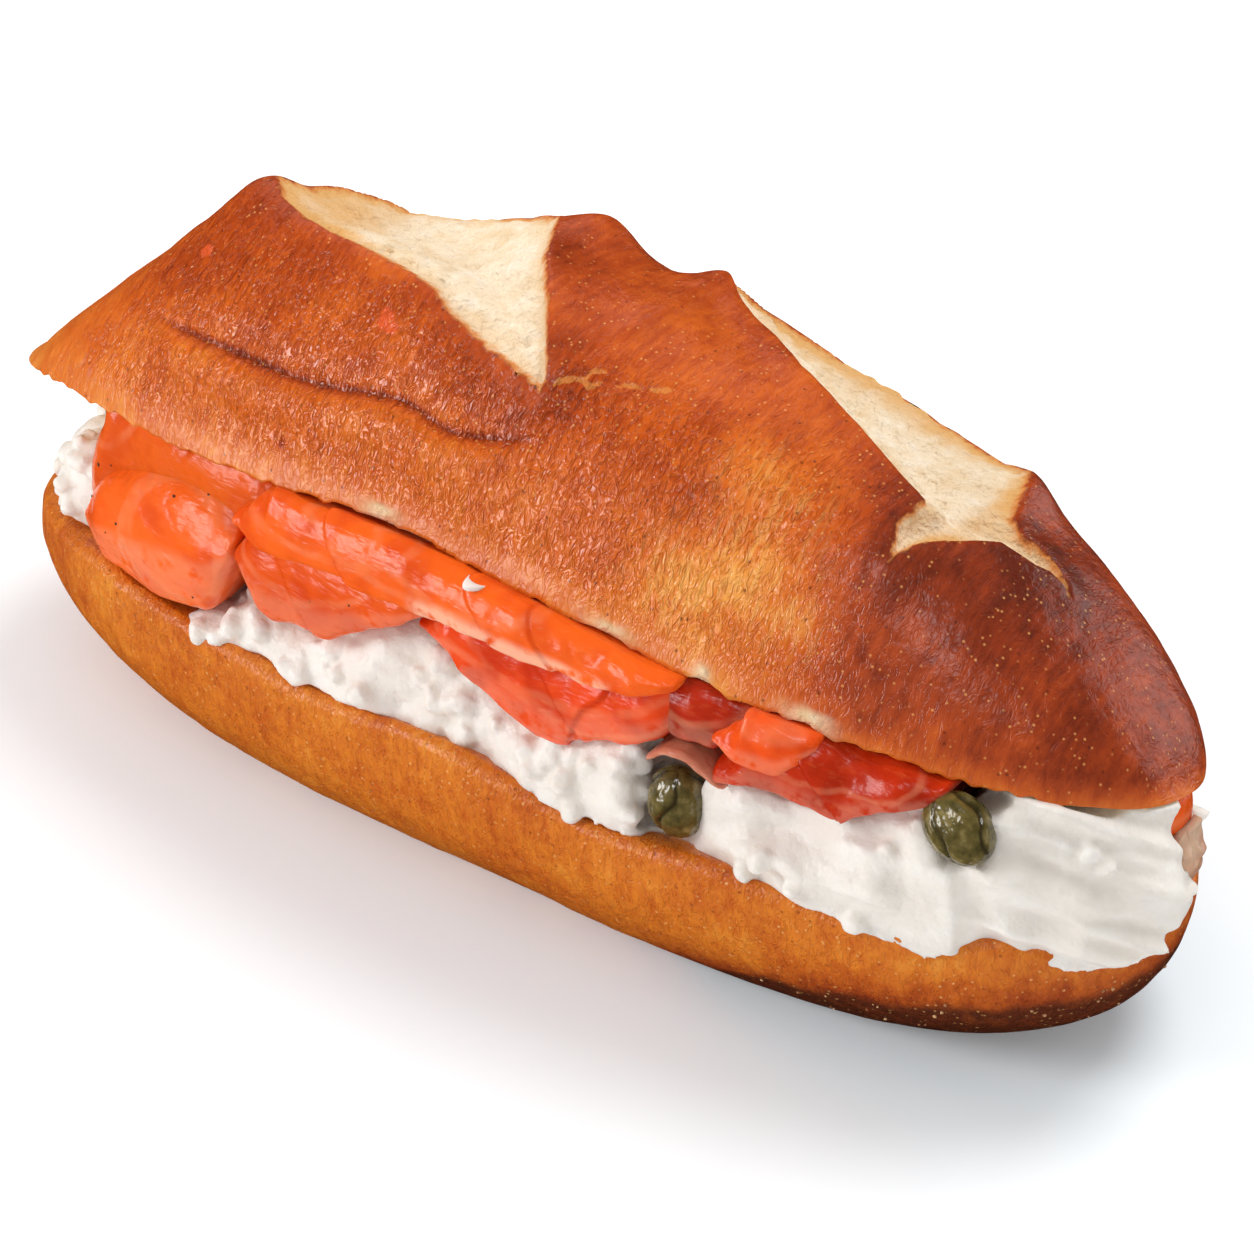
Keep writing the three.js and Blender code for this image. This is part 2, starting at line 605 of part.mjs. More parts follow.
// ---- whole roll --------------------------------------------------------------------
const group = new THREE.Group();
group.name = 'salmon_pretzel_roll';
group.add(bottomHalf(), topHalf(), cheese(), upperSpread());
SALMON.forEach((slice) => group.add(salmonSlice(slice)));
group.add(endTip());
group.add(caper('caper_left', new THREE.Vector3(28.4, -24.6, 29.4), 3.8, 4.7,
  new THREE.Vector3(0.05, -0.1, 1)));
group.add(caper('caper_right', new THREE.Vector3(66.6, -20.6, 39.6), 3.9, 4.9,
  new THREE.Vector3(0.79, 0, -0.61)));
export default group;
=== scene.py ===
# Looks of the salmon pretzel roll: a split pretzel stick roll with soft cheese, smoked
# salmon slices and two capers. Lengths here are millimetres, in the frame of the packed
# part: +X along the roll, -Y the open side, +Z up. Meshes are written in metres.
import math

import bpy
import numpy as np
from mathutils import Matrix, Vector


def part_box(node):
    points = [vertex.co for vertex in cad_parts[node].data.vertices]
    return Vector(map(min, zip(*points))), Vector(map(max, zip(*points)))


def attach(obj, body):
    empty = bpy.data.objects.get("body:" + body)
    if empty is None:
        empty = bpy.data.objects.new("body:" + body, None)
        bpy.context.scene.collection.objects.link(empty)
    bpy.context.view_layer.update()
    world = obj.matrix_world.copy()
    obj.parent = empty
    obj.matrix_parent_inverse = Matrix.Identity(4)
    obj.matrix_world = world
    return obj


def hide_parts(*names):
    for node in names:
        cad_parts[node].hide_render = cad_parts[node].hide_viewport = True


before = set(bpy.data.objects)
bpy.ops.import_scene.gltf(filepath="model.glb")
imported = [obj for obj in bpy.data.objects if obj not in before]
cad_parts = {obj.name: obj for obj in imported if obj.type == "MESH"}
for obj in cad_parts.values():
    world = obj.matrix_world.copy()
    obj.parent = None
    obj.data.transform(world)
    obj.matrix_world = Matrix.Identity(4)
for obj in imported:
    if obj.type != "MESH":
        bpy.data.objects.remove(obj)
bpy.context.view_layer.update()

MM = 0.001

# ---- sizes of the roll, about as in the solids ---------------------------------------
BASE_LEFT = 89.5
BASE_RIGHT = 85.0
BASE_HALF_WIDTH = 31.0
BASE_HEIGHT = 1000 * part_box("bottom_half")[1].z
TURN_IN_LEFT = 7.2
TURN_IN_RIGHT = 9.3
END_FULLNESS_LEFT = 3.0
END_FULLNESS_RIGHT = 2.5
LID_LEFT = 93.0
LID_RIGHT = 84.0
LID_FRONT = 29.3
LID_BACK = 31.5
LID_TILT = math.radians(20)
HINGE_Y = 31.0
HINGE_Z = 28.5
GAP = 0.35
LID_RIDGE = [
    (-93, 0), (-87, 6.1), (-78, 15), (-68, 24.3), (-58, 30), (-46, 33.4), (-30, 35.9),
    (-12, 36.1), (6, 35), (22, 33.6), (38, 29.8), (52, 24.9), (64, 19), (74, 12.4),
    (81, 5.6), (84, 0),
]
SLASH_LEFT = [
    (-3, -22.6), (-7, -22), (-12, -21.3), (-20, -19.6), (-25, -17.7), (-34, -16.1),
    (-44, -14), (-50, -11.8), (-56, -8.7), (-60, -4), (-61, 4), (-59, 12), (-54, 18),
    (-44, 19), (-33, 15), (-25, 9), (-22, 3.8), (-16.3, -6.3), (-14, -9.3), (-10, -13.7),
    (-5.5, -18.8), (-3.4, -20.9),
]
SLASH_RIGHT = [
    (0, 10), (9.5, 3.7), (14.7, 0.9), (21.5, -3.9), (29.4, -6.8), (38, -8.9), (45.9, -11.1),
    (45.2, -14.9), (47.2, -18.8), (49, -15.1), (52, -11.3), (55, -6.5), (59, -4.4), (62, -1),
    (58.5, -0.4), (55.5, -2.2), (53.2, -0.6), (49.5, 8.1), (47, 13), (41, 19), (29, 22),
    (14, 21.5), (3, 17), (-1.5, 13),
]
SLASH_DEPTH = [5.4, 5.6]
# lifted tips of crust beside the slashes: x, y, rise, spread
CRUST_EARS = [
    (-61.5, -6, 3, 6), (-17.5, 8, 4, 5.5), (0.5, 9.5, 2, 4.5), (48.5, 11, 1.2, 5),
    (46.5, -10.5, 0.9, 3),
]
CREASE = [
    (-62, -22, 13.6), (-55, -23.7, 14.1), (-48, -24.8, 14.6), (-40, -25.7, 15.0),
    (-33.5, -26.1, 15.6), (-27, -26.1, 17), (-21, -26.1, 17.9), (-12.7, -26.7, 17),
    (-7, -26.4, 18), (-2.5, -25.8, 19.5),
]
# lines in plan on the top half: a ridge, and hair cracks that show pale crumb
SHOULDER = [(0.3, 4.6), (2.5, -3.4), (2.7, -8.2), (2, -11.9)]
CRACKS = [
    [(-3.4, -21.6), (-2.2, -21.9), (-1.4, -20.9), (0.5, -20.1), (2.2, -20.4), (3.6, -19.7)],
    [(0.8, -20.2), (1.4, -18.9), (3.2, -18.4)],
    [(3.2, -19.5), (5.4, -19.2), (8.0, -18.4), (10.4, -18.0), (12.4, -16.7)],
    [(59.2, -1.6), (60.8, -1.9), (62.4, -1.4), (63.6, -2.2)],
]
# patches of darker and of paler crust: x, y, z, spread, strength
DARK_PATCHES = [
    (57, -21.2, 12.3, 0.7, 0.3), (-56, -12, 26, 7, 0.08), (-12.7, -15.5, 32.4, 0.7, 0.5),
    (-36, -27.8, 7, 0.7, 0.5),
    (-3, -24, 24, 8, 0.1), (-60, -8, 29, 8, 0.06), (-16, 2, 38, 9, 0.12), (44, -13, 28, 7, 0.25),
    (8, -23, 24, 9, 0.1), (70, -8, 12, 14, 0.08),
]
GOLD_PATCHES = [
    (34, -19, 24, 5, 0.14), (33, -25, 15, 6, 0.34), (24, -27, 10, 6, 0.3), (-84, -6, 6, 9, 0.06),
    (27, -20, 25, 4, 0.2), (40, -24, 10, 4, 0.16),
]
# reddish smudges on the top half: x, y, z, spread
RED_MARKS = [(-28.4, -21.7, 25.7, 1.7), (-26.6, -22.2, 25.2, 1.2), (-62, -15.4, 22.5, 1.5)]
# places on the open rim of the top half where the crust has torn off: x, half length
TORN_RIM = [(-18.7, 2.6), (17.5, 3.2), (45.4, 3.0), (31, 1.2)]
# height up to which the base is burnt
BURNT_EDGE = [(-95, -6), (2, -5), (22, -0.5), (36, 4.5), (50, 9.5), (64, 13), (76, 15.5), (90, 16)]
# thickness of the soft cheese along the open side and further in, and the hollows that
# the capers sit in: x, y, radius, height of the floor
CHEESE_FRONT = [
    (-90, 10), (-84, 14), (-78, 19), (-75, 18), (-72, 8), (-69.5, 2.2), (-46, 2.2),
    (-41, 6.5), (-31, 8), (-25, 10), (-18, 14), (-12, 15.5), (-7, 14.5), (-2, 12), (5, 9),
    (11, 9), (17, 12.5), (23, 15), (35, 15), (41, 16.5), (52, 17), (58, 18), (66, 19.5),
    (70, 23), (90, 25),
]
CHEESE_INNER = [
    (-90, 12), (-80, 13), (-74, 8), (-68, 5.4), (-58, 6.2), (-40, 7.5), (0, 8), (40, 9),
    (54, 10), (60, 16), (64, 23), (74, 25), (90, 25),
]
CHEESE_HOLLOWS = [(28.5, -26.5, 6.6, 24.6), (66.0, -24.5, 6.6, 35.6)]
CHEESE_LEFT = BASE_LEFT - 1.4
CHEESE_RIGHT = BASE_RIGHT - 0.2
CHEESE_HALF_WIDTH = BASE_HALF_WIDTH - 0.7
# curds that stand up from the open side of the cheese: x, y, z, spread, rise
CURD_KNOBS = [(-8.5, -27.5, 36.5, 1.6, 3.0), (-12.5, -28, 34.5, 1.5, 2.6), (2, -29, 31, 1.7, 1.6)]
# the thin cheese under the top half: its ends, and where a lobe of it comes forward
UPPER_SPREAD = (-46, 55)
UPPER_LOBE_X = -1
UPPER_LOBE_HALF = 3.0
UPPER_LOBE_REACH = 10.6

# Salmon slices. rows: x, lowest and highest height; TO_LID runs up to the cut above.
# nose: how far out the slice reaches, as a share of the half width. lip: share of the
# height where it reaches furthest. edge: rounding below that. lean: how far the face
# leans back above it. back: how far in it goes. seams: where one layer lies on the next
# (x, lean, rise). film: stretch whose lower rim is pale.
TO_LID = 60.0
SLICE_STEP = 0.33
FACE_POINTS = 60
DEPTH_POINTS = 11
SALMON = {
    "salmon_big_fold": dict(nose=1.01, lip=0.4, edge=2.6, lean=6.5, back=8, rows=[
        (-71.2, 28.8, 31.4), (-69.8, 26.2, 34.2), (-66.6, 24.9, 37.8), (-63, 24.7, 40.2),
        (-59.4, 24.9, 42), (-53.2, 26, 44), (-48.4, 27, 44.8), (-45.2, 28.4, 44.6),
        (-43, 31.5, 44), (-41.6, 35, 43.2), (-40.4, 38, 42)]),
    "salmon_back_sheet": dict(nose=0.84, lip=0.1, edge=0.6, lean=3, back=12, rows=[
        (-75.2, 27.6, 28.8), (-74.2, 27, 32), (-72.6, 27, 36.5), (-70.7, 28, 41),
        (-69.2, 30, 45.5), (-66, 33, TO_LID), (-60, 36, TO_LID), (-50, 38, TO_LID),
        (-40, 40, TO_LID), (-34, 42, TO_LID)]),
    "salmon_long_fold": dict(
        nose=0.97, lip=0.14, edge=0.7, lean=5.5, back=10, film=(-11, 22),
        seams=[(-20.5, 0.75, 0.7), (4, 0.9, 0.3), (13, 0.9, -0.3)], rows=[
            (-40.8, 44.3, 45.4), (-39.4, 43.6, 47), (-37.6, 43, 49), (-35, 42.5, 50.8),
            (-31, 42.6, TO_LID), (-26.8, 43.8, TO_LID), (-20, 44, TO_LID),
            (-11.7, 44.3, TO_LID), (-4, 45, TO_LID), (7, 45.1, TO_LID),
            (16.7, 44.9, TO_LID), (21.1, 46, TO_LID), (25.2, 47.3, TO_LID),
            (29, 48.4, TO_LID)]),
    "salmon_lower_fold": dict(
        nose=0.99, lip=0.2, edge=0.9, lean=5, back=4, seams=[(-34, 0.8, 0.4)], rows=[
            (-40.4, 39.4, 40.6), (-39.4, 38, 42.4), (-37.6, 36.4, 44.6), (-35.4, 34, 46),
            (-32, 33, 47), (-28, 33.5, 48), (-23.6, 34.4, 48), (-20, 36.6, 48),
            (-16.4, 39.4, 48), (-11.3, 42.2, 48), (-7, 44.6, 48)]),
    "salmon_middle_slice": dict(
        nose=0.93, lip=0.16, edge=0.9, lean=6, back=6, seams=[(7, 0.9, 0.4), (19, -0.5, -0.5)],
        rows=[
            (-10.5, 41, 42), (-8, 40.4, 45), (-5, 39.6, 47), (-3.2, 37.4, 47.5),
            (0.6, 35.8, 48), (5.4, 34.2, 48), (11, 32.8, 48), (13.9, 33.7, 48),
            (19.4, 37.1, 49), (23.6, 37.9, 50), (27.2, 40, 50), (28.8, 43, 50)]),
    "salmon_dark_slice": dict(nose=0.91, lip=0.2, edge=0.8, lean=5, back=8, rows=[
        (25.6, 42.5, TO_LID), (28.1, 41, TO_LID), (31.8, 41.4, TO_LID), (34.1, 41, TO_LID),
        (35.6, 42, TO_LID), (38.4, 43.5, TO_LID)]),
    "salmon_small_fold": dict(nose=0.96, lip=0.2, edge=0.9, lean=4, back=6, rows=[
        (34.4, 43.6, 44.4), (36.2, 42.8, 46.4), (38.3, 42, 48.4), (41, 42.1, TO_LID),
        (44, 42.5, TO_LID), (46, 44.4, TO_LID), (48, 46.2, TO_LID)]),
    "salmon_right_sheet": dict(
        nose=0.95, lip=0.08, edge=0.5, lean=9, back=-6, seams=[(46.5, 0.9, 0.7)], rows=[
            (33.6, 37, 38), (35, 37.4, 41), (38, 38.4, 44), (41.8, 39, TO_LID),
            (45.2, 39.5, TO_LID), (48.6, 39, TO_LID), (51.4, 38.1, TO_LID),
            (54, 39.8, TO_LID), (56.6, 41.2, TO_LID), (61.6, 43.1, TO_LID),
            (64.2, 44.8, TO_LID)]),
    "salmon_skin_strip": dict(nose=0.95, lip=0.5, edge=0.7, lean=0.8, back=-12, rows=[
        (25, 36.0, 36.8), (26.5, 37, 38.7), (28.5, 38.6, 40.3), (31, 39.2, 40.9),
        (33.2, 38, 39.9), (34.6, 36.8, 38.4), (35.8, 35.6, 36.4)]),
}
# along the open side: how far the base's rim stands above its cut, how far the soft
# cheese stays in from that rim (below zero where it is past it), and how far it hangs down
RIM_RISE = [
    (-90, 0), (-75, 1.4), (-68, 2.2), (-57, 1.8), (-40, 1.8), (-30, 1.2), (-20, 1.6),
    (-11, 3), (-3, 3.2), (4, 2.4), (11, 1.6), (18, 1.0), (28, 1.6), (36, 2.6),
    (43, 2.0), (52, 1.4), (60, 1.6),
    (66, 1.4), (74, 1.8), (80, 1), (85, 0),
]
CHEESE_INSET = [
    (-90, 0.8), (-80, 1.2), (-76, 4.5), (-72, 7), (-60, 6), (-55, 2.4), (-50, 1.2), (-20, 1.1),
    (-13, 2.6), (-3, 2.8), (5, 1.6), (25, 1.2), (29, 3.8), (35, 3), (41, 0.8), (50, 0), (60, -0.4),
    (65, -1.2), (68, -0.2), (75, -0.6), (79, -1.6), (88, -1.4),
]
CHEESE_HANG = [
    (-90, 0), (58, 0), (65, 2), (68, 0.2), (74, 1), (78, 2), (82, 2.8), (86, 1.6), (90, 0.8),
]


# points round and along the main pieces
BASE_ROUND = 920
LID_ALONG = 430
LID_ACROSS = 200
CHEESE_ROUND = 1000
CHEESE_ROWS = 84
CHEESE_GRID = 0.42


# ---- view of the photograph ----------------------------------------------------------
VIEW_AZIMUTH = math.radians(36)
VIEW_ELEVATION = math.radians(37.5)
VIEW_DISTANCE = 600.0
VIEW_AIM = (0.0, 0.0, 30.0)
IMAGE_SIZE = 1254
AIM_PIXEL = (612, 617)
PIXELS_PER_MM = 7.66
SENSOR = 36.0


# ---- numbers -------------------------------------------------------------------------
def mix(a, b, t):
    return a + (b - a) * t


def smooth(low, high, value):
    t = np.clip((value - low) / (high - low), 0, 1)
    return t * t * (3 - 2 * t)


def signed_power(value, power):
    return np.sign(value) * np.abs(value) ** power


def bump_at(distance, spread):
    return np.exp(-(distance / spread) ** 2)


def lookup(table, x):
    """Smooth curve through the rows of a table that never passes its neighbours' values."""
    xs, ys = np.array(table, float).T
    slopes = np.gradient(ys) / np.gradient(xs)
    i = np.clip(np.searchsorted(xs, x) - 1, 0, len(xs) - 2)
    width = xs[i + 1] - xs[i]
    t = np.clip((x - xs[i]) / width, 0, 1)
    value = ((2 * t**3 - 3 * t**2 + 1) * ys[i] + (t**3 - 2 * t**2 + t) * slopes[i] * width
             + (3 * t**2 - 2 * t**3) * ys[i + 1] + (t**3 - t**2) * slopes[i + 1] * width)
    return np.clip(value, np.minimum(ys[i], ys[i + 1]), np.maximum(ys[i], ys[i + 1]))


def lattice(i, j, k):
    value = np.sin(i * 127.1 + j * 311.7 + k * 74.7) * 43758.5453
    return value - np.floor(value)


def noise(x, y, z):
    """Smooth random value in -1 .. 1 at each point."""
    x, y, z = np.broadcast_arrays(x, y, z)
    i, j, k = np.floor(x), np.floor(y), np.floor(z)
    u, v, w = (t * t * (3 - 2 * t) for t in (x - i, y - j, z - k))
    edges = [mix(lattice(i, j + a, k + b), lattice(i + 1, j + a, k + b), u)
             for b in (0, 1) for a in (0, 1)]
    return mix(mix(edges[0], edges[1], v), mix(edges[2], edges[3], v), w) * 2 - 1


def grain(points, size, seed=0.0):
    """Noise with lumps of about the given size at an array of points."""
    p = points / size
    return noise(p[..., 0] + seed, p[..., 1] + 2 * seed, p[..., 2] - seed)


def cells(points, size, seed=0.0):
    """Distance to the nearest of scattered centres, as a share of their spacing."""
    p = points / size + seed
    base = np.floor(p)
    nearest = np.full(p.shape[:-1], 9.0)
    for di in (-1, 0, 1):
        for dj in (-1, 0, 1):
            for dk in (-1, 0, 1):
                i, j, k = base[..., 0] + di, base[..., 1] + dj, base[..., 2] + dk
                cx = i + lattice(i, j, k)
                cy = j + lattice(i + 17, j, k + 5)
                cz = k + lattice(i, j + 31, k + 11)
                gap = (p[..., 0] - cx) ** 2 + (p[..., 1] - cy) ** 2 + (p[..., 2] - cz) ** 2
                nearest = np.minimum(nearest, gap)
    return np.sqrt(nearest)


def inside_distance(outline, x, y):
    """Distance from a plan outline, positive inside it."""
    nearest = np.full(np.shape(x), np.inf)
    inside = np.zeros(np.shape(x), bool)
    for (x0, y0), (x1, y1) in zip(outline, outline[1:] + outline[:1]):
        dx, dy = x1 - x0, y1 - y0
        t = np.clip(((x - x0) * dx + (y - y0) * dy) / (dx * dx + dy * dy), 0, 1)
        nearest = np.minimum(nearest, np.hypot(x - x0 - t * dx, y - y0 - t * dy))
        if y0 != y1:
            inside ^= ((y0 > y) != (y1 > y)) & (x < x0 + dx * (y - y0) / (y1 - y0))
    return np.where(inside, nearest, -nearest)


def line_distance(line, points):
    """Distance of each point from a line of points in space."""
    nearest = np.full(points.shape[:-1], np.inf)
    for a, b in zip(np.array(line[:-1], float), np.array(line[1:], float)):
        d = b - a
        t = np.clip(((points - a) @ d) / (d @ d), 0, 1)
        nearest = np.minimum(nearest, np.linalg.norm(points - a - t[..., None] * d, axis=-1))
    return nearest


def even_steps(curve, low, high, count):
    """Parameters that give equal steps along a curve."""
    fine = np.linspace(low, high, 6000)
    run = np.linalg.norm(np.diff(curve(fine), axis=0), axis=1)
    run = np.concatenate([[0], np.cumsum(run)])
    return np.interp(np.linspace(0, run[-1], count), run, fine)


def grid_normals(grid):
    """Unit normals of a grid of points whose rows are rings."""
    wide = np.concatenate([grid[:, -1:], grid, grid[:, :1]], axis=1)
    normal = np.cross(np.gradient(grid, axis=0), np.gradient(wide, axis=1)[:, 1:-1])
    return normal / np.maximum(np.linalg.norm(normal, axis=-1, keepdims=True), 1e-9)


# ---- meshes --------------------------------------------------------------------------
def make_piece(name, points, faces, fields=None):
    """Mesh object from points in millimetres, with named values stored on its points."""
    mesh = bpy.data.meshes.new(name)
    mesh.from_pydata(np.asarray(points) * MM, [], faces)
    mesh.shade_smooth()
    for field, values in (fields or {}).items():
        attribute = mesh.attributes.new(field, "FLOAT", "POINT")
        attribute.data.foreach_set("value", np.asarray(values, np.float32))
    piece = bpy.data.objects.new(name, mesh)
    bpy.context.scene.collection.objects.link(piece)
    return piece


def lofted(name, rings, first, last, fields=None):
    """Closed skin over rings of points, with one point closing each end."""
    rows, count = rings.shape[:2]
    points = np.vstack([first, rings.reshape(-1, 3), last])
    at = 1 + np.arange(rows * count).reshape(rows, count)
    turned = np.roll(at, -1, axis=1)
    quads = np.stack([at[:-1], turned[:-1], turned[1:], at[1:]], -1).reshape(-1, 4)
    start = np.stack([np.zeros(count, int), turned[0], at[0]], -1)
    end = np.stack([np.full(count, len(points) - 1), at[-1], turned[-1]], -1)
    a, b, c, d = (points[quads[:, i]] for i in range(4))
    volume = (a * np.cross(b, c)).sum() + (a * np.cross(c, d)).sum()
    if volume < 0:
        quads, start, end = quads[:, ::-1], start[:, ::-1], end[:, ::-1]
    whole = {}
    for field, values in (fields or {}).items():
        values = np.broadcast_to(values, (rows, count))
        whole[field] = np.concatenate([[values[0].mean()], values.ravel(), [values[-1].mean()]])
    return make_piece(name, points, quads.tolist() + start.tolist() + end.tolist(), whole)


def dress(piece, finish, slot, *nodes):
    """Gives a piece its finish and says what it rides on and stands for."""
    piece.data.materials.clear()
    piece.data.materials.append(finish)
    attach(piece, "root")
    if nodes:
        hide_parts(*nodes)
    return piece


# ---- material building ---------------------------------------------------------------
def rgb(red, green, blue):
    """Linear colour from the usual 0 .. 255 values."""
    def linear(value):
        value /= 255
        return value / 12.92 if value <= 0.04045 else ((value + 0.055) / 1.055) ** 2.4
    return (linear(red), linear(green), linear(blue), 1.0)


class Wire:
    """An output socket of a node tree. Sums and products of wires add Math nodes."""

    def __init__(self, recipe, socket):
        self.recipe = recipe
        self.socket = socket

    def maths(self, operation, a, b=0.0):
        return self.recipe.node("ShaderNodeMath", {"operation": operation}, {0: a, 1: b})

    def __add__(self, other):
        return self.maths("ADD", self, other)

    def __sub__(self, other):
        return self.maths("SUBTRACT", self, other)

    def __rsub__(self, other):
        return self.maths("SUBTRACT", other, self)

    def __mul__(self, other):
        return self.maths("MULTIPLY", self, other)

    def __truediv__(self, other):
        return self.maths("DIVIDE", self, other)

    def __pow__(self, other):
        return self.maths("POWER", self, other)

    __radd__ = __add__
    __rmul__ = __mul__


class Recipe:
    """A material and the nodes that make it. Constants go straight onto the shader."""

    def __init__(self, name, **constants):
        self.material = bpy.data.materials.new(name)
        self.material.use_nodes = True
        self.tree = self.material.node_tree
        self.shader = self.tree.nodes["Principled BSDF"]
        for socket, value in constants.items():
            self.shader.inputs[socket.replace("_", " ")].default_value = value
        self.place = self.node("ShaderNodeTexCoord", {}, {}, "Object")

    def node(self, kind, settings, sockets, output=0):
        node = self.tree.nodes.new(kind)
        for key, value in settings.items():
            if key != "stops":
                setattr(node, key, value)
                continue
            band = node.color_ramp.elements
            while len(band) < len(value):
                band.new(0.5)
            for element, (position, colour) in zip(band, value):
                element.position = position
                element.color = colour
        for key, value in sockets.items():
            if isinstance(value, Wire):
                self.tree.links.new(value.socket, node.inputs[key])
            else:
                node.inputs[key].default_value = value
        return Wire(self, node.outputs[output])

    def field(self, name):
        return self.node("ShaderNodeAttribute", {"attribute_name": name}, {}, "Fac")

    def stretch(self, scale):
        return self.node("ShaderNodeMapping", {}, {"Vector": self.place, "Scale": scale})

    def mottle(self, size, detail=3.0, vector=None, distortion=0.0):
        """Noise in 0 .. 1 with patches of about the given size in millimetres."""
        sockets = {"Vector": vector or self.place, "Scale": 1 / (size * MM),
                   "Detail": detail, "Distortion": distortion}
        return self.node("ShaderNodeTexNoise", {}, sockets)

    def spots(self, size):
        """Distance from scattered spots, as a share of their spacing."""
        sockets = {"Vector": self.place, "Scale": 1 / (size * MM)}
        return self.node("ShaderNodeTexVoronoi", {}, sockets, "Distance")

    def step(self, value, low, high, to_low=0.0, to_high=1.0):
        """Smooth step of a value between two limits, clamped outside them."""
        sockets = {0: value, 1: low, 2: high, 3: to_low, 4: to_high}
        return self.node("ShaderNodeMapRange", {"interpolation_type": "SMOOTHSTEP"}, sockets)

    def ramp(self, value, stops):
        return self.node("ShaderNodeValToRGB", {"stops": stops}, {0: value}, "Color")

    def blend(self, share, a, b):
        return self.node("ShaderNodeMix", {"data_type": "RGBA"}, {0: share, 6: a, 7: b}, 2)

    def relief(self, height, depth, normal=None):
        """Bump of a height in 0 .. 1 that is depth millimetres deep."""
        sockets = {"Height": height, "Distance": depth * MM, "Strength": 1.0}
        if normal:
            sockets["Normal"] = normal
        return self.node("ShaderNodeBump", {}, sockets)

    def surface(self, **links):
        for socket, wire in links.items():
            self.tree.links.new(wire.socket, self.shader.inputs[socket.replace("_", " ")])
        return self.material


# ---- bottom half ---------------------------------------------------------------------
def fullness(x):
    return mix(END_FULLNESS_LEFT, END_FULLNESS_RIGHT, 0.5 + 0.5 * np.tanh(3 * x))


def rim_points(angle, left, right, half):
    c, s = np.cos(angle), np.sin(angle)
    n = fullness(c)
    x = np.where(c < 0, left, right) * signed_power(c, 2 / n)
    return np.stack([x, half * signed_power(s, 2 / n)], -1)


def rim_angles(count, left, right, half):
    return even_steps(lambda a: rim_points(a, left, right, half), 0, 2 * math.pi, count + 1)[:-1]


def wall_inset(x, z):
    t = np.clip(z / BASE_HEIGHT, 0, 1)
    turn = mix(TURN_IN_LEFT, TURN_IN_RIGHT, smooth(-60, 30, x))
    return turn * (1 - t) ** 2.4 - 0.6 * np.sin(math.pi * t)


def bottom_half():
    rim = rim_points(rim_angles(BASE_ROUND, BASE_LEFT, BASE_RIGHT, BASE_HALF_WIDTH),
                     BASE_LEFT, BASE_RIGHT, BASE_HALF_WIDTH)
    x, y = rim[:, 0], rim[:, 1]
    length = BASE_LEFT + BASE_RIGHT
    rise = lookup(RIM_RISE, x) * smooth(-4, -16, y)
    fold = 1.3 * bump_at(np.hypot(x + 66.5, y + 22), 2.2) - bump_at(np.hypot(x + 62, y + 25), 2.2)
    rings, faces = [], []

    def ring(extra, z, wave, face, lift=0.0):
        z = np.broadcast_to(z, x.shape)
        uneven = wave * noise(x / 17, y / 17, z / 9) + fold * smooth(6, 14, z)
        inset = extra + wall_inset(x, z) + uneven
        rings.append(np.stack([x * (1 - 3.2 * inset / length),
                               y * (1 - inset / BASE_HALF_WIDTH), z + lift * rise], -1))
        faces.append(np.full(x.shape, float(face)))

    for extra in (24, 15, 9, 5, 2, 0.6):
        ring(extra, 0, 0, 0)
    shoulder = 1.6
    wall_top = BASE_HEIGHT - shoulder
    for z in np.concatenate([[0.05, 0.15, 0.3, 0.5], np.linspace(0.8, wall_top, 50)]):
        ring(0, z, 0.35 * smooth(0.3, 1.5, z), 0, float(smooth(10, wall_top, z)))
    for turn in np.linspace(0, math.pi / 2, 11)[1:]:
        ring(shoulder * (1 - math.cos(turn)), wall_top + shoulder * math.sin(turn), 0.3, 0, 1)
    for extra in (1.9, 2.3, 2.8, 3.4, 4.2, 5, 6, 9, 14, 20):
        ring(extra, BASE_HEIGHT, 0, smooth(3.8, 5.6, extra), max(0, 1 - (extra - 1.6) / 5))
    rings = np.array(rings)
    faces = np.array(faces)
    normal = grid_normals(rings)
    if (normal[30] * rings[30] * (1, 1, 0)).sum() < 0:
        normal = -normal
    relief = 0.12 * grain(rings, 6, 3) + 0.07 * grain(rings, 2.2, 9)
    relief += 0.25 * grain(rings, 14, 5) + faces * 0.3 * grain(rings, 1.6, 2)
    rings = rings + normal * (relief * smooth(0.2, 2, rings[..., 2]))[..., None]
    edge = lookup(BURNT_EDGE, rings[..., 0]) + 1.2 * grain(rings, 6, 2) + 0.6 * grain(rings, 2, 2)
    below = rings[..., 2] - edge
    burnt = smooth(1.2, -1.6, below)
    fields = {"face": faces, "burnt": burnt, "browned": smooth(7, 0, below),
              "strewn": burnt * smooth(-9, -1, below) * smooth(0.4, 1, rings[..., 2])}
    return lofted("bottom_crust", rings, (0, 0, 0), (0, 0, BASE_HEIGHT), fields)


# ---- top half ------------------------------------------------------------------------
def lid_half_width(x, front):
    reach = np.where(x < 0, LID_LEFT, LID_RIGHT)
    n = np.where(x < 0, END_FULLNESS_LEFT, END_FULLNESS_RIGHT)
    t = np.clip(np.abs(x) / reach, 0, 1)
    return np.where(front, LID_FRONT, LID_BACK) * (1 - t**n) ** (1 / n)


def rim_bow(x, y, z):
    along = np.exp(-((x + 14) / 34) ** 2)
    bow = 3.4 * along * np.clip(-y / LID_FRONT, 0, 1) ** 2
    return (bow - 2.6 * smooth(-74, -93, x)) * (1 - z / 40)


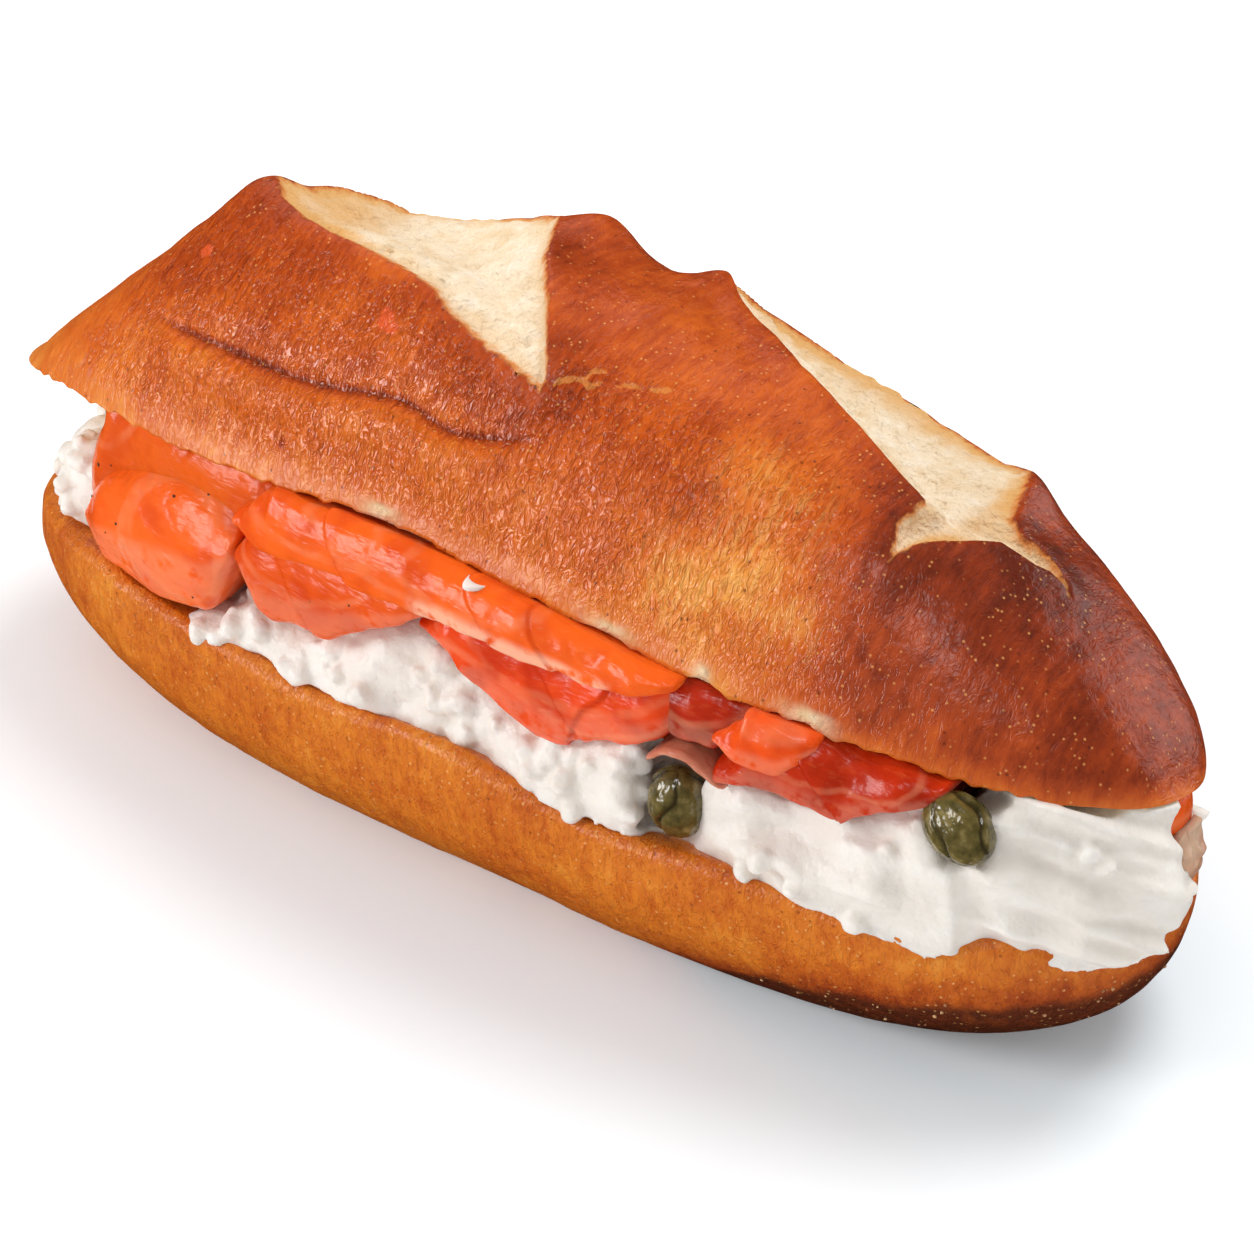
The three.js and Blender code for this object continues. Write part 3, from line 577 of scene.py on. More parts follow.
def lid_points(x, v):
    s = 0.5 + 0.5 * np.tanh(2.2 * (x / 85 + 0.35))
    y = lid_half_width(x, v < 0) * v
    crown = np.maximum(0, 1 - np.abs(v) ** (2.6 + 0.2 * s)) ** (0.72 - 0.17 * s)
    z = lookup(LID_RIDGE, x) * crown
    return np.stack([x, y, z + rim_bow(x, y, z)], -1)


def on_lid(line):
    """A plan line laid on the top half as it is before its relief."""
    x, y = np.array(line, float).T
    return lid_points(x, y / lid_half_width(x, y < 0))


def slash_distances(p):
    return [inside_distance(outline, p[..., 0], p[..., 1]) for outline in (SLASH_LEFT, SLASH_RIGHT)]


def crease_relief(p):
    """Long fold low on the open side: a groove with the crust bulging out below it."""
    path = [(x, z) for x, _, z in CREASE]
    above = p[..., 2] - lookup(path, p[..., 0])
    along = smooth(-66, -56, p[..., 0]) * smooth(2, -9, p[..., 0]) * (p[..., 1] < 0)
    groove = 0.9 * bump_at(above, 0.75)
    below = 0.75 * bump_at(above + 3.2, 2.6)
    return (below - groove - 0.35 * bump_at(above - 1.6, 1.5)) * along


def crust_relief(p):
    relief = 0.45 * noise(p[..., 0] / 13 + 5, p[..., 1] / 13, p[..., 2] / 13)
    for s, depth in zip(slash_distances(p), SLASH_DEPTH):
        bowl = -(1.2 * smooth(0, 0.9, s) + depth * smooth(0, 12, s) - 0.9)
        relief += np.where(s > 0, bowl, 0.9 * bump_at(s, 3.5))
    for x, y, rise, spread in CRUST_EARS:
        relief += rise * bump_at(np.hypot(p[..., 0] - x, p[..., 1] - y), spread)
    return relief + crease_relief(p)


def place_lid(p):
    y = p[..., 1] - HINGE_Y
    c, s = math.cos(LID_TILT), math.sin(LID_TILT)
    return np.stack([p[..., 0], HINGE_Y + y * c + p[..., 2] * s,
                     HINGE_Z - y * s + p[..., 2] * c], -1)


def snap_to_slashes(x, v, reach):
    """Moves points that lie close to the edge of a slash onto it."""
    for outline in (SLASH_LEFT, SLASH_RIGHT):
        y = lid_half_width(x, v < 0) * v
        s = inside_distance(outline, x, y)
        step = 0.05
        gx = (inside_distance(outline, x + step, y) - s) / step
        gy = (inside_distance(outline, x, y + step) - s) / step
        near = (np.abs(s) < reach) & (np.abs(v) < 0.9)
        nx = np.where(near, x - gx * s, x)
        ny = np.where(near, y - gy * s, y)
        x, v = nx, np.where(near, ny / lid_half_width(nx, ny < 0), v)
    return x, v


def top_half():
    def spine(x):
        return np.stack([x, lid_half_width(x, True), lookup(LID_RIDGE, x)], -1)

    stations = even_steps(spine, -LID_LEFT, LID_RIGHT, LID_ALONG)[1:-1]
    middle = even_steps(lambda v: lid_points(np.zeros_like(v), v), -1, 1, LID_ACROSS)
    x, v = np.meshgrid(stations, middle, indexing="ij")
    x, v = snap_to_slashes(x, v, 0.24)
    p = lid_points(x, v)
    dx, dv = 0.4, 0.01
    px = (lid_points(np.clip(x + dx, -LID_LEFT, LID_RIGHT), v)
          - lid_points(np.clip(x - dx, -LID_LEFT, LID_RIGHT), v))
    pv = (lid_points(x, np.clip(v + dv, -1, 1)) - lid_points(x, np.clip(v - dv, -1, 1)))
    normal = np.cross(px, pv)
    normal /= np.maximum(np.linalg.norm(normal, axis=-1, keepdims=True), 1e-9)
    fade = smooth(0, 3.5, p[..., 2] - rim_bow(p[..., 0], p[..., 1], 0))
    fade = fade * smooth(0, 5, LID_RIGHT - x)
    left, right = slash_distances(p)
    crumb = np.maximum(left, right)
    cracks = np.min([line_distance(on_lid(line), p) for line in CRACKS], axis=0)
    relief = crust_relief(p) + 0.8 * bump_at(line_distance(on_lid(SHOULDER), p), 1.8)
    relief += 0.22 * grain(p, 7, 1) + 0.12 * grain(p, 3.4, 2) + 0.05 * grain(p, 1.6, 4)
    relief -= 0.3 * bump_at(cracks, 0.5)
    pores = 0.9 * smooth(0.3, 0.1, cells(p, 3.8, 3.0)) + 0.4 * smooth(0.4, 0.15, cells(p, 2.1, 1.0))
    pores = pores * mix(1, 0.35, smooth(-10, 5, p[..., 0]))
    fluff = mix(1, 1.7, smooth(-10, 5, p[..., 0]))
    dents = fluff * (0.4 * grain(p, 4, 7) + 0.3 * grain(p, 1.4, 6)) - pores
    relief += np.where(crumb > 0, dents * smooth(0, 2, crumb), 0)
    p = p + normal * (relief * fade)[..., None]
    height = p[..., 2] - rim_bow(p[..., 0], p[..., 1], 0)
    torn = np.max([bump_at(x - middle, half) for middle, half in TORN_RIM], axis=0)
    rim = smooth(2.4, 0, height) * (v < 0) * smooth(-88, -80, x) * smooth(80, 74, x)
    rags = 0.25 + 0.35 * noise(x / 1.3, 3.0, v * 4) + 0.35 * noise(x / 4.5, 8.0, 1.0) - 0.9 * torn
    p[..., 2] -= rim * rags
    torn = torn * smooth(2.6, 0.8, height + 0.8 * grain(p, 1.6, 5)) * (v < 0)

    inner = np.array([0.97, 0.93, 0.87, 0.78, 0.66, 0.5, 0.25])
    inner = np.concatenate([inner, [0], -inner[::-1]])
    fx, fv = np.meshgrid(stations, inner, indexing="ij")
    fy = lid_half_width(fx, fv < 0) * fv
    face = np.stack([fx, fy, rim_bow(fx, fy, 0)], -1)
    rings = np.concatenate([p, face], axis=1)

    def ends(x):
        return place_lid(np.array([x, 0, float(rim_bow(np.array(x), np.array(0.0), 0))]))

    def both(outer, value):
        return np.concatenate([outer, np.full(face.shape[:2], float(value))], axis=1)

    fields = {
        "face": both(torn, 1), "crumb": both(crumb, -20), "crack": both(cracks, 20),
        "toast": both(toast_and_shade_of(p, height, crumb), 0.2), "rear": both(rear_of(p), 0),
        "wrinkle": both(wrinkle_of(p, height, crumb), 0),
        "mark": both(np.max([near(p, *mark) for mark in RED_MARKS], axis=0), 0),
        "gold": both(np.clip(3 * sum(g[4] * near(p, *g[:4]) for g in GOLD_PATCHES), 0, 1), 0),
    }
    return lofted("top_crust", place_lid(rings), ends(-LID_LEFT), ends(LID_RIGHT), fields)


def near(p, x, y, z, spread):
    """Soft round patch about a point, 1 at its middle."""
    return bump_at(np.linalg.norm(p - (x, y, z), axis=-1), spread)


def toast_and_shade_of(p, height, crumb):
    """How dark the crust is baked, from 0 at a golden edge to 1 on the dark dome, with painted shade
    along the crease.
    """
    x = p[..., 0]
    band = mix(7, 1.6, smooth(26, 48, x))
    tone = 0.2 + 0.22 * smooth(-1, band, height) + 0.14 * smooth(12, 24, height)
    tone += 0.32 * smooth(38, 60, x) * smooth(0, 4, height)
    tone -= 0.1 * smooth(-66, -86, x)
    for patch in DARK_PATCHES:
        tone += patch[4] * near(p, *patch[:4])
    tone -= sum(patch[4] * near(p, *patch[:4]) for patch in GOLD_PATCHES)
    tone += 0.1 * grain(p, 16, 1) + 0.06 * grain(p, 6, 5)
    tone += 0.06 * bump_at(crumb + 2.2, 2.2)
    path = [(cx, cz) for cx, _, cz in CREASE]
    above = p[..., 2] - lookup(path, x)
    along = smooth(-66, -56, x) * smooth(2, -9, x) * (p[..., 1] < 0)
    # painted shade: a dark line along the groove of the crease; the crust a little above it is baked a
    # bit darker
    tone += along * (0.42 * bump_at(above, 0.55) + 0.06 * bump_at(above - 3, 3))
    return np.clip(tone, 0, 1)


def rear_of(p):
    """Where the crumb in the slashes has browned, towards the closed side and the left."""
    x, y = p[..., 0], p[..., 1]
    left = 0.8 * smooth(-44, -60, x + 0.5 * (y - 10)) + smooth(8, 18, y)
    right = smooth(11, 19, y) + 0.6 * bump_at(x - 50, 2.5)
    return np.clip(np.where(x < -5, left, right), 0, 1)


def wrinkle_of(p, height, crumb):
    """Where the skin of the crust is finely wrinkled."""
    zone = smooth(1, 6, height) * smooth(34, 24, height) * smooth(52, 30, p[..., 0])
    zone = zone * smooth(-84, -60, p[..., 0]) * smooth(6, -6, p[..., 1])
    return np.clip(zone, 0, 1) * smooth(0, -2, crumb)


def cut_face(x, y):
    """Height of the cut of the top half above the base."""
    inner = HINGE_Y - (HINGE_Y - y) / math.cos(LID_TILT)
    return HINGE_Z + (HINGE_Y - y) * math.tan(LID_TILT) + rim_bow(x, np.maximum(inner, -29), 0)


# ---- soft cheese ---------------------------------------------------------------------
def cheese_radius(x, y):
    n = fullness(x / 30)
    reach = np.where(x < 0, CHEESE_LEFT, CHEESE_RIGHT)
    return ((np.abs(x) / reach) ** n + (np.abs(y) / CHEESE_HALF_WIDTH) ** n) ** (1 / n)


def cheese_top(x, y):
    r = np.clip(cheese_radius(x, y), 0, 1)
    height = mix(lookup(CHEESE_FRONT, x), lookup(CHEESE_INNER, x), smooth(-19, -7, y))
    ledge = smooth(75, 79, x) * smooth(-1.6, 1.6, y) * smooth(15, 12, y)
    dome = (1 - r ** mix(8, 20, smooth(46, 62, x) * smooth(80, 72, x))) ** 0.5
    z = BASE_HEIGHT + GAP + 0.4 + np.minimum(height * dome, mix(40, 4.2, ledge))
    return np.minimum(z, cut_face(x, y) - GAP - 0.1)


def cheese_surface(x, y):
    z = cheese_top(x, y)
    for hx, hy, radius, floor in CHEESE_HOLLOWS:
        d = np.hypot(x - hx, y - hy)
        z = mix(np.minimum(z, floor), z, smooth(radius * 0.72, radius, d))
    return z


def rounded_cells(points, size, seed):
    """Packed round lumps with sharp creases between them, about -0.6 .. 0.45."""
    return np.sqrt(np.clip(1.1 - cells(points, size, seed) ** 2, 0, None)) - 0.6


def cheese():
    outline = rim_points(rim_angles(CHEESE_ROUND, CHEESE_LEFT, CHEESE_RIGHT, CHEESE_HALF_WIDTH),
                         CHEESE_LEFT, CHEESE_RIGHT, CHEESE_HALF_WIDTH)
    front = smooth(6, -8, outline[:, 1])
    inset = lookup(CHEESE_INSET, outline[:, 0]) * front
    uneven = 0.7 * noise(outline[:, 0] / 3.2, outline[:, 1] / 3.2, 1.0)
    swept = 0.2 * uneven + 0.7 * noise(outline[:, 0] / 8, outline[:, 1] / 8, 5.0)
    inset = inset + mix(uneven, swept, smooth(32, 44, outline[:, 0])) * front
    outline = outline * (1 - inset / CHEESE_HALF_WIDTH)[:, None]

    def profile(r):
        return np.stack([r * CHEESE_HALF_WIDTH, 15 * (1 - r**8) ** 0.5], -1)

    radii = even_steps(profile, 0.3, 0.9999, CHEESE_ROWS)[::-1]
    r = radii[:, None]
    x, y = outline[:, 0] * r, outline[:, 1] * r
    lumps = 0.8 * noise(x / 6, y / 6, 3) * smooth(0.5, 0.9, r) * smooth(-8, -14, y)
    hang = lookup(CHEESE_HANG, x) * smooth(0.985, 1, r) * smooth(-2, -9, y)
    flat_x, flat_y = x / (1 - inset / CHEESE_HALF_WIDTH), y / (1 - inset / CHEESE_HALF_WIDTH)
    z = np.minimum(cheese_surface(flat_x, flat_y) + lumps, cut_face(x, y) - GAP) - hang
    top = np.stack([x, y, z], -1)
    normal = grid_normals(top)
    normal = normal * np.sign(normal[..., 2:3].mean())
    curdy = mix(0.3, 1.0, smooth(38, 28, x)) * smooth(0.66, 0.8, r)
    curds = 2.0 * rounded_cells(top, 4.2, 0.0) + 1.1 * rounded_cells(top, 2.0, 4.0)
    hollow = np.ones_like(x)
    for hx, hy, radius, _ in CHEESE_HOLLOWS:
        hollow = hollow * smooth(radius * 0.5, radius, np.hypot(x - hx, y - hy))
    swept = smooth(32, 44, x) * smooth(0.66, 0.8, r)
    across = top[..., 2] + 0.8 * y
    strokes = 1.9 * noise(x / 15 + across / 16, across / 4 - x / 24, 4)
    strokes += 0.8 * noise(x / 7, across / 1.7 - x / 20, 9) - 2.0 * np.abs(noise(x / 11, across / 5, 7))
    raised = curds * curdy + strokes * swept
    for kx, ky, kz, spread, rise in CURD_KNOBS:
        raised += rise * near(top, kx, ky, kz, spread)
    top = top + normal * (raised * mix(0.25, 1, hollow))[..., None]
    ceiling = cut_face(top[..., 0], top[..., 1]) - GAP
    top[..., 2] = np.clip(top[..., 2], BASE_HEIGHT + 0.02 - hang, ceiling)
    under = [np.concatenate([outline * share, np.full((len(outline), 1), BASE_HEIGHT - 0.6)], axis=1)
             for share in (0.5, 0.93)]
    rings = np.concatenate([np.array(under), top])
    middle = float(cheese_surface(np.array(0.0), np.array(0.0)))
    clumps = smooth(-0.25, 0.35, grain(top, 5, 6))
    clumps = clumps * mix(1, 0.12, smooth(32, 44, x))
    strewn = clumps * smooth(0.66, 0.8, r) * hollow * ((top[..., 1] < -4) | (np.abs(x) > 78))
    strewn = np.concatenate([np.zeros((2, len(outline))), strewn])
    return lofted("cheese_spread", rings, (0, 0, BASE_HEIGHT - 0.6), (0, 0, middle),
                  {"strewn": np.clip(strewn, 0, 1)})


def between(x, y, w):
    """Height at a share w of the way from the cheese to the cut face above it."""
    low = cheese_top(x, y) + 1.35
    high = cut_face(x, y) - GAP - 0.15
    return mix(np.minimum(low, high - 0.2), high, w)


def open_side(x):
    n = np.where(x < 0, END_FULLNESS_LEFT, END_FULLNESS_RIGHT)
    reach = np.where(x < 0, BASE_LEFT, BASE_RIGHT)
    return -BASE_HALF_WIDTH * (1 - (np.abs(x) / reach) ** n) ** (1 / n)


def upper_cheese():
    x = np.linspace(*UPPER_SPREAD, 260)
    front = open_side(x) * 0.62 - UPPER_LOBE_REACH * bump_at(x - UPPER_LOBE_X, UPPER_LOBE_HALF)
    front = front + 0.5 * noise(x / 2.5, 3.0, 1.0)
    turns = np.linspace(math.pi / 2, 3 * math.pi / 2, 10)
    nose = [(front + 0.6 + 0.6 * math.cos(t), 0.975 + 0.02 * math.sin(t)) for t in turns]
    outer = nose + [(np.full_like(x, -6), 0.955), (np.full_like(x, 8), 0.955),
                    (np.full_like(x, 8.4), 0.975), (np.full_like(x, 8), 0.995),
                    (np.full_like(x, -6), 0.995)]
    rings = np.stack([np.stack([x, y, between(x, y, w)], -1) for y, w in outer], axis=1)

    def end(x):
        x, y = np.array(float(x)), np.array(-6.0)
        return (float(x), -6, float(between(x, y, 0.975)))

    return lofted("cheese_upper", rings, end(UPPER_SPREAD[0] - 0.4), end(UPPER_SPREAD[1] + 0.4))


# ---- salmon --------------------------------------------------------------------------
def salmon_slice(name, rows, nose, lip, edge, lean, back, seams=(), film=None):
    """A slice that hangs over towards the open side, closed behind."""
    first, last = rows[0][0], rows[-1][0]
    lows = [(x, low) for x, low, high in rows]
    highs = [(x, high) for x, low, high in rows]
    x = np.linspace(first, last, int((last - first) / SLICE_STEP) + 2)
    ends = np.minimum(x - first, last - x)
    taper = np.clip(ends / 5, 0, 1) ** 0.5
    nose_y = open_side(x) * nose + (1 - taper) * 2 + 0.4 * noise(x / 6, back, 1)
    back_y = np.maximum(mix(nose_y + 7, back, taper), nose_y + lean + 1)
    ragged = 0.12 * noise(x / 1.1, 7.0, back) + 0.4 * noise(x / 4.2, 2.0, back)
    low = lookup(lows, x) + ragged * smooth(0, 3, ends)
    high = np.maximum(low + 0.4, lookup(highs, x))
    outer = []
    for i in range(FACE_POINTS):
        a = math.pi * (0.5 - i / (FACE_POINTS - 1))
        share = lip + ((1 - lip) if a > 0 else lip) * float(signed_power(math.sin(a), 0.9))
        rounding = lean if a > 0 else edge
        outer.append((nose_y + rounding * (1 - math.cos(a)), share))
    depths = np.linspace(0, 1, DEPTH_POINTS + 1)[1:]
    outer += [(mix(nose_y + edge, back_y, s), 0.0) for s in depths]
    outer += [(mix(nose_y + lean, back_y, s), 1.0) for s in reversed(depths)]
    rings = np.stack([np.stack([x, y, mix(low, np.minimum(high, cut_face(x, y)), w)], -1)
                      for y, w in outer], axis=1)
    normal = grid_normals(rings)
    if ((rings - rings.mean(axis=1, keepdims=True)) * normal).sum() < 0:
        normal = -normal
    relief = 0.45 * grain(rings, 9, 3) + 0.25 * grain(rings * (0.7, 1, 1), 4, 5)
    relief += 0.09 * grain(rings * (0.4, 1, 1), 1.5, 8)
    layer = np.zeros(rings.shape[:2])
    for at, slant, rise in seams:
        away = rings[..., 0] + slant * (rings[..., 2] - 45) - at + 0.8 * grain(rings, 4, at)
        relief += rise * (smooth(-0.2, 0.2, away) - 0.5) * bump_at(np.clip(away, -9, 9), 6)
        layer += bump_at(away, 0.35)
    rings = rings + normal * (relief * smooth(0, 1.5, ends)[:, None])[..., None]
    ceiling = cut_face(rings[..., 0], rings[..., 1]) - 0.15
    rings[..., 2] = np.minimum(rings[..., 2], ceiling)
    wrap = [1 - 2 * i / (FACE_POINTS - 1) for i in range(FACE_POINTS)]
    wrap = np.array(wrap + [-1.5] * DEPTH_POINTS + [1.5] * DEPTH_POINTS)
    shown = smooth(-0.95, -0.6, wrap) * smooth(1.05, 0.7, wrap)
    thick = smooth(0.25, 0.6, 0.5 + 0.5 * grain(rings, 7, 11))
    # the seam field marks a line of painted shade where one layer lies on the next
    fields = {"seam": layer, "strewn": shown[None, :] * thick}
    pale = smooth(0.16, 0.02, wrap)[None, :] * smooth(-0.9, -0.3, wrap)[None, :]
    if film:
        pale = pale * (smooth(film[0], film[0] + 3, x) * smooth(film[1], film[1] - 3, x))[:, None]
    fields["film"] = pale * (1.0 if film else 0.25)
    middle = rings.mean(axis=1)
    return lofted(name.replace("salmon", "slice"), rings, middle[0], middle[-1], fields)


def inner_layers_in_shade():
    """The slices' deeper layers, painted dark red as shade where they show in the gaps between the
    folds.
    """
    x = np.linspace(-69, 63, 300)
    front = open_side(x) * 0.76 + 0.5 * noise(x / 5, 1.0, 2.0)
    outer = [(front + 1.2 * (1 - math.cos(a)) + 0.7 * math.sin(9 * a), 0.5 + 0.5 * math.sin(a))
             for a in np.linspace(math.pi / 2, -math.pi / 2, 50)]
    outer += [(front + 8, 0.0), (front + 8, 1.0)]
    low = mix(29, 36, smooth(-45, 20, x))
    rings = np.stack([np.stack([x, y, mix(low, cut_face(x, y) - 0.4, w)], -1)
                      for y, w in outer], axis=1)
    rings[..., 1] += 0.4 * grain(rings, 3, 6)
    middle = rings.mean(axis=1)
    return lofted("slice_inner_layers_in_shade", rings, middle[0], middle[-1])


def plain_copy(name, piece):
    """A piece with its modifiers worked in, as a new plain mesh."""
    bpy.context.view_layer.update()
    evaluated = piece.evaluated_get(bpy.context.evaluated_depsgraph_get())
    copy = bpy.data.objects.new(name, bpy.data.meshes.new_from_object(evaluated))
    bpy.context.scene.collection.objects.link(copy)
    return copy


def melted(name, piece, grid, rounds, keep):
    """One skin over a piece and all that is stuck to it, softened and thinned out."""
    remesh = piece.modifiers.new("skin", "REMESH")
    remesh.mode = "VOXEL"
    remesh.voxel_size = grid * MM
    soften = piece.modifiers.new("soften", "SMOOTH")
    soften.iterations = rounds
    soften.factor = 0.5
    thin = piece.modifiers.new("thin", "DECIMATE")
    thin.ratio = keep
    skin = plain_copy(name, piece)
    skin.data.shade_smooth()
    bpy.data.objects.remove(piece)
    return skin


def joined(name, pieces):
    """One piece made of several."""
    points, faces = [], []
    for piece in pieces:
        first = len(points)
        points += [corner.co / MM for corner in piece.data.vertices]
        faces += [[first + i for i in face.vertices] for face in piece.data.polygons]
        bpy.data.objects.remove(piece)
    return make_piece(name, points, faces)


def scatter(name, host, finish, sizes, per_square_cm, faces, seed, stuck=False):
    """Small lumps strewn over a piece where its field "strewn" is high, as a mesh. Stuck
    lumps come with the piece itself."""
    tree = bpy.data.node_groups.new(name, "GeometryNodeTree")
    socket = tree.interface.new_socket
    socket("Piece", in_out="INPUT", socket_type="NodeSocketGeometry")
    wants = {"Smallest": sizes[0] * MM, "Largest": sizes[1] * MM, "Density": per_square_cm * 1e4}
    inputs = {socket(key, in_out="INPUT", socket_type="NodeSocketFloat").identifier: value
              for key, value in wants.items()}
    socket("Lumps", in_out="OUTPUT", socket_type="NodeSocketGeometry")

    def node(kind, settings, sockets):
        made = tree.nodes.new(kind)
        for key, value in settings.items():
            setattr(made, key, value)
        for key, value in sockets.items():
            if isinstance(value, bpy.types.NodeSocket):
                tree.links.new(value, made.inputs[key])
            else:
                made.inputs[key].default_value = value
        return made.outputs

    given = node("NodeGroupInput", {}, {})
    where = node("GeometryNodeInputNamedAttribute", {}, {"Name": "strewn"})
    density = node("ShaderNodeMath", {"operation": "MULTIPLY"},
                   {0: where["Attribute"], 1: given["Density"]})
    points = node("GeometryNodeDistributePointsOnFaces", {},
                  {"Mesh": given["Piece"], "Density": density[0], "Seed": seed})
    lump = node("GeometryNodeMeshIcoSphere", {}, {"Radius": 1.0, "Subdivisions": faces})
    size = node("FunctionNodeRandomValue", {},
                {2: given["Smallest"], 3: given["Largest"], "Seed": seed + 1})
    turn = node("FunctionNodeRandomValue", {"data_type": "FLOAT_VECTOR"},
                {0: (0, 0, 0), 1: (6.28, 6.28, 6.28), "Seed": seed + 2})
    placed = node("GeometryNodeInstanceOnPoints", {}, {
        "Points": points["Points"], "Instance": lump["Mesh"], "Rotation": turn[0], "Scale": size[1]})
    real = node("GeometryNodeRealizeInstances", {}, {"Geometry": placed[0]})
    lumpy = node("ShaderNodeTexNoise", {}, {"Scale": 0.8 / (sizes[1] * MM), "Detail": 1.0})
    out = node("ShaderNodeVectorMath", {"operation": "SUBTRACT"},
               {0: lumpy["Color"], 1: (0.5, 0.5, 0.5)})
    out = node("ShaderNodeVectorMath", {"operation": "SCALE"},
               {0: out[0], "Scale": given["Largest"]})
    moved = node("GeometryNodeSetPosition", {}, {"Geometry": real[0], "Offset": out[0]})
    soft = node("GeometryNodeSetShadeSmooth", {}, {0: moved[0]})
    if stuck:
        soft = node("GeometryNodeJoinGeometry", {}, {0: soft[0]})
        tree.links.new(given["Piece"], soft[0].node.inputs[0])
    dressed = node("GeometryNodeSetMaterial", {}, {"Geometry": soft[0], "Material": finish})
    node("NodeGroupOutput", {}, {0: dressed[0]})
    modifier = host.modifiers.new(name, "NODES")
    modifier.node_group = tree
    for identifier, value in inputs.items():
        modifier[identifier] = value
    piece = plain_copy(name, host)
    host.modifiers.remove(modifier)
    return piece


def end_tip():
    centre = np.array([81.2, 4.4, 32.8])
    a = np.linspace(0, math.pi, 40)[1:-1, None]
    b = np.linspace(0, 2 * math.pi, 61)[None, :-1]
    y = -5.6 * np.cos(a) + 0 * b
    x = 2.2 * signed_power(np.cos(b), 0.8) * np.sin(a) - 0.035 * y * y
    z = 4.3 * signed_power(np.sin(b), 0.7) * np.sin(a) ** 0.6 - 0.12 * y
    rings = np.stack([x, y, z], -1) + centre
    ends = [np.array([-0.035 * y * y, y, -0.12 * y]) + centre for y in (-5.6, 5.6)]
    return lofted("slice_end_tip", rings, ends[0], ends[1])


def end_skin():
    """Grey skin side of the last slice, hanging down over the end of the cheese."""
    drop = np.linspace(0, 1, 40)[:, None]
    across = np.linspace(-1, 1, 24)[None, :]
    y = 4.2 + across * (2.9 - 0.8 * drop) + 0.5 * noise(drop * 4, across * 2, 3.0)
    z = 32.5 - 8.5 * drop + 0.4 * noise(drop * 3, across * 3, 8.0)
    x = 84.6 + 1.2 * np.sin(math.pi * drop) - 0.5 * across**2 + 0.35 * noise(drop * 7, across * 2, 5.0)
    outer = np.stack(np.broadcast_arrays(x, y, z), -1)
    rings = np.concatenate([outer, outer[:, ::-1] - (1.2, 0, 0)], axis=1)
    middle = rings.mean(axis=1)
    return lofted("slice_end_skin", rings, middle[0], middle[-1])


# ---- capers --------------------------------------------------------------------------
def caper(name, middle, radius, half, axis):
    axis = np.array(axis) / np.linalg.norm(axis)
    turn = np.array(Vector((0, 0, 1)).rotation_difference(Vector(axis)).to_matrix())
    a = np.linspace(0, math.pi, 60)[1:-1, None]
    b = np.linspace(0, 2 * math.pi, 97)[None, :-1]
    leaf = (b * 4 / (2 * math.pi) + 0.35 * np.cos(a) + 0.08 * np.sin(5 * a)) % 1
    overlap = 0.07 * (leaf - 0.5) - 0.09 * bump_at(np.minimum(leaf, 1 - leaf), 0.07)
    ribs = 0.012 * np.sin(22 * b + 4 * np.sin(a)) * np.sin(a)
    r = radius * np.sin(a) ** 0.85 * (1 + (overlap + ribs) * np.sin(a) ** 0.5)
    local = np.stack([r * np.cos(b), r * np.sin(b), -half * np.cos(a) + 0 * b], -1)
    local = local + 0.18 * np.stack([grain(local, 2.4, seed) for seed in (1, 2, 3)], -1)
    rings = local @ turn.T + middle
    return lofted(name, rings, middle - half * axis, middle + half * axis,
                  # the seam field marks the grooves between sepals, which get painted shade
                  {"seam": bump_at(np.minimum(leaf, 1 - leaf), 0.09)})


# ---- finishes ------------------------------------------------------------------------
FAT_SHARE = 0.18


def ridged(recipe, size, vector, distortion):
    """Height of fine winding ridges, 0 in the hollows and 1 along their crests."""
    grain_of_skin = recipe.mottle(size, 0.6, vector, distortion)
    fold = recipe.node("ShaderNodeMath", {"operation": "ABSOLUTE"}, {0: grain_of_skin * 2 - 1})
    return (1 - recipe.step(fold, 0, 0.6)) ** 1.5


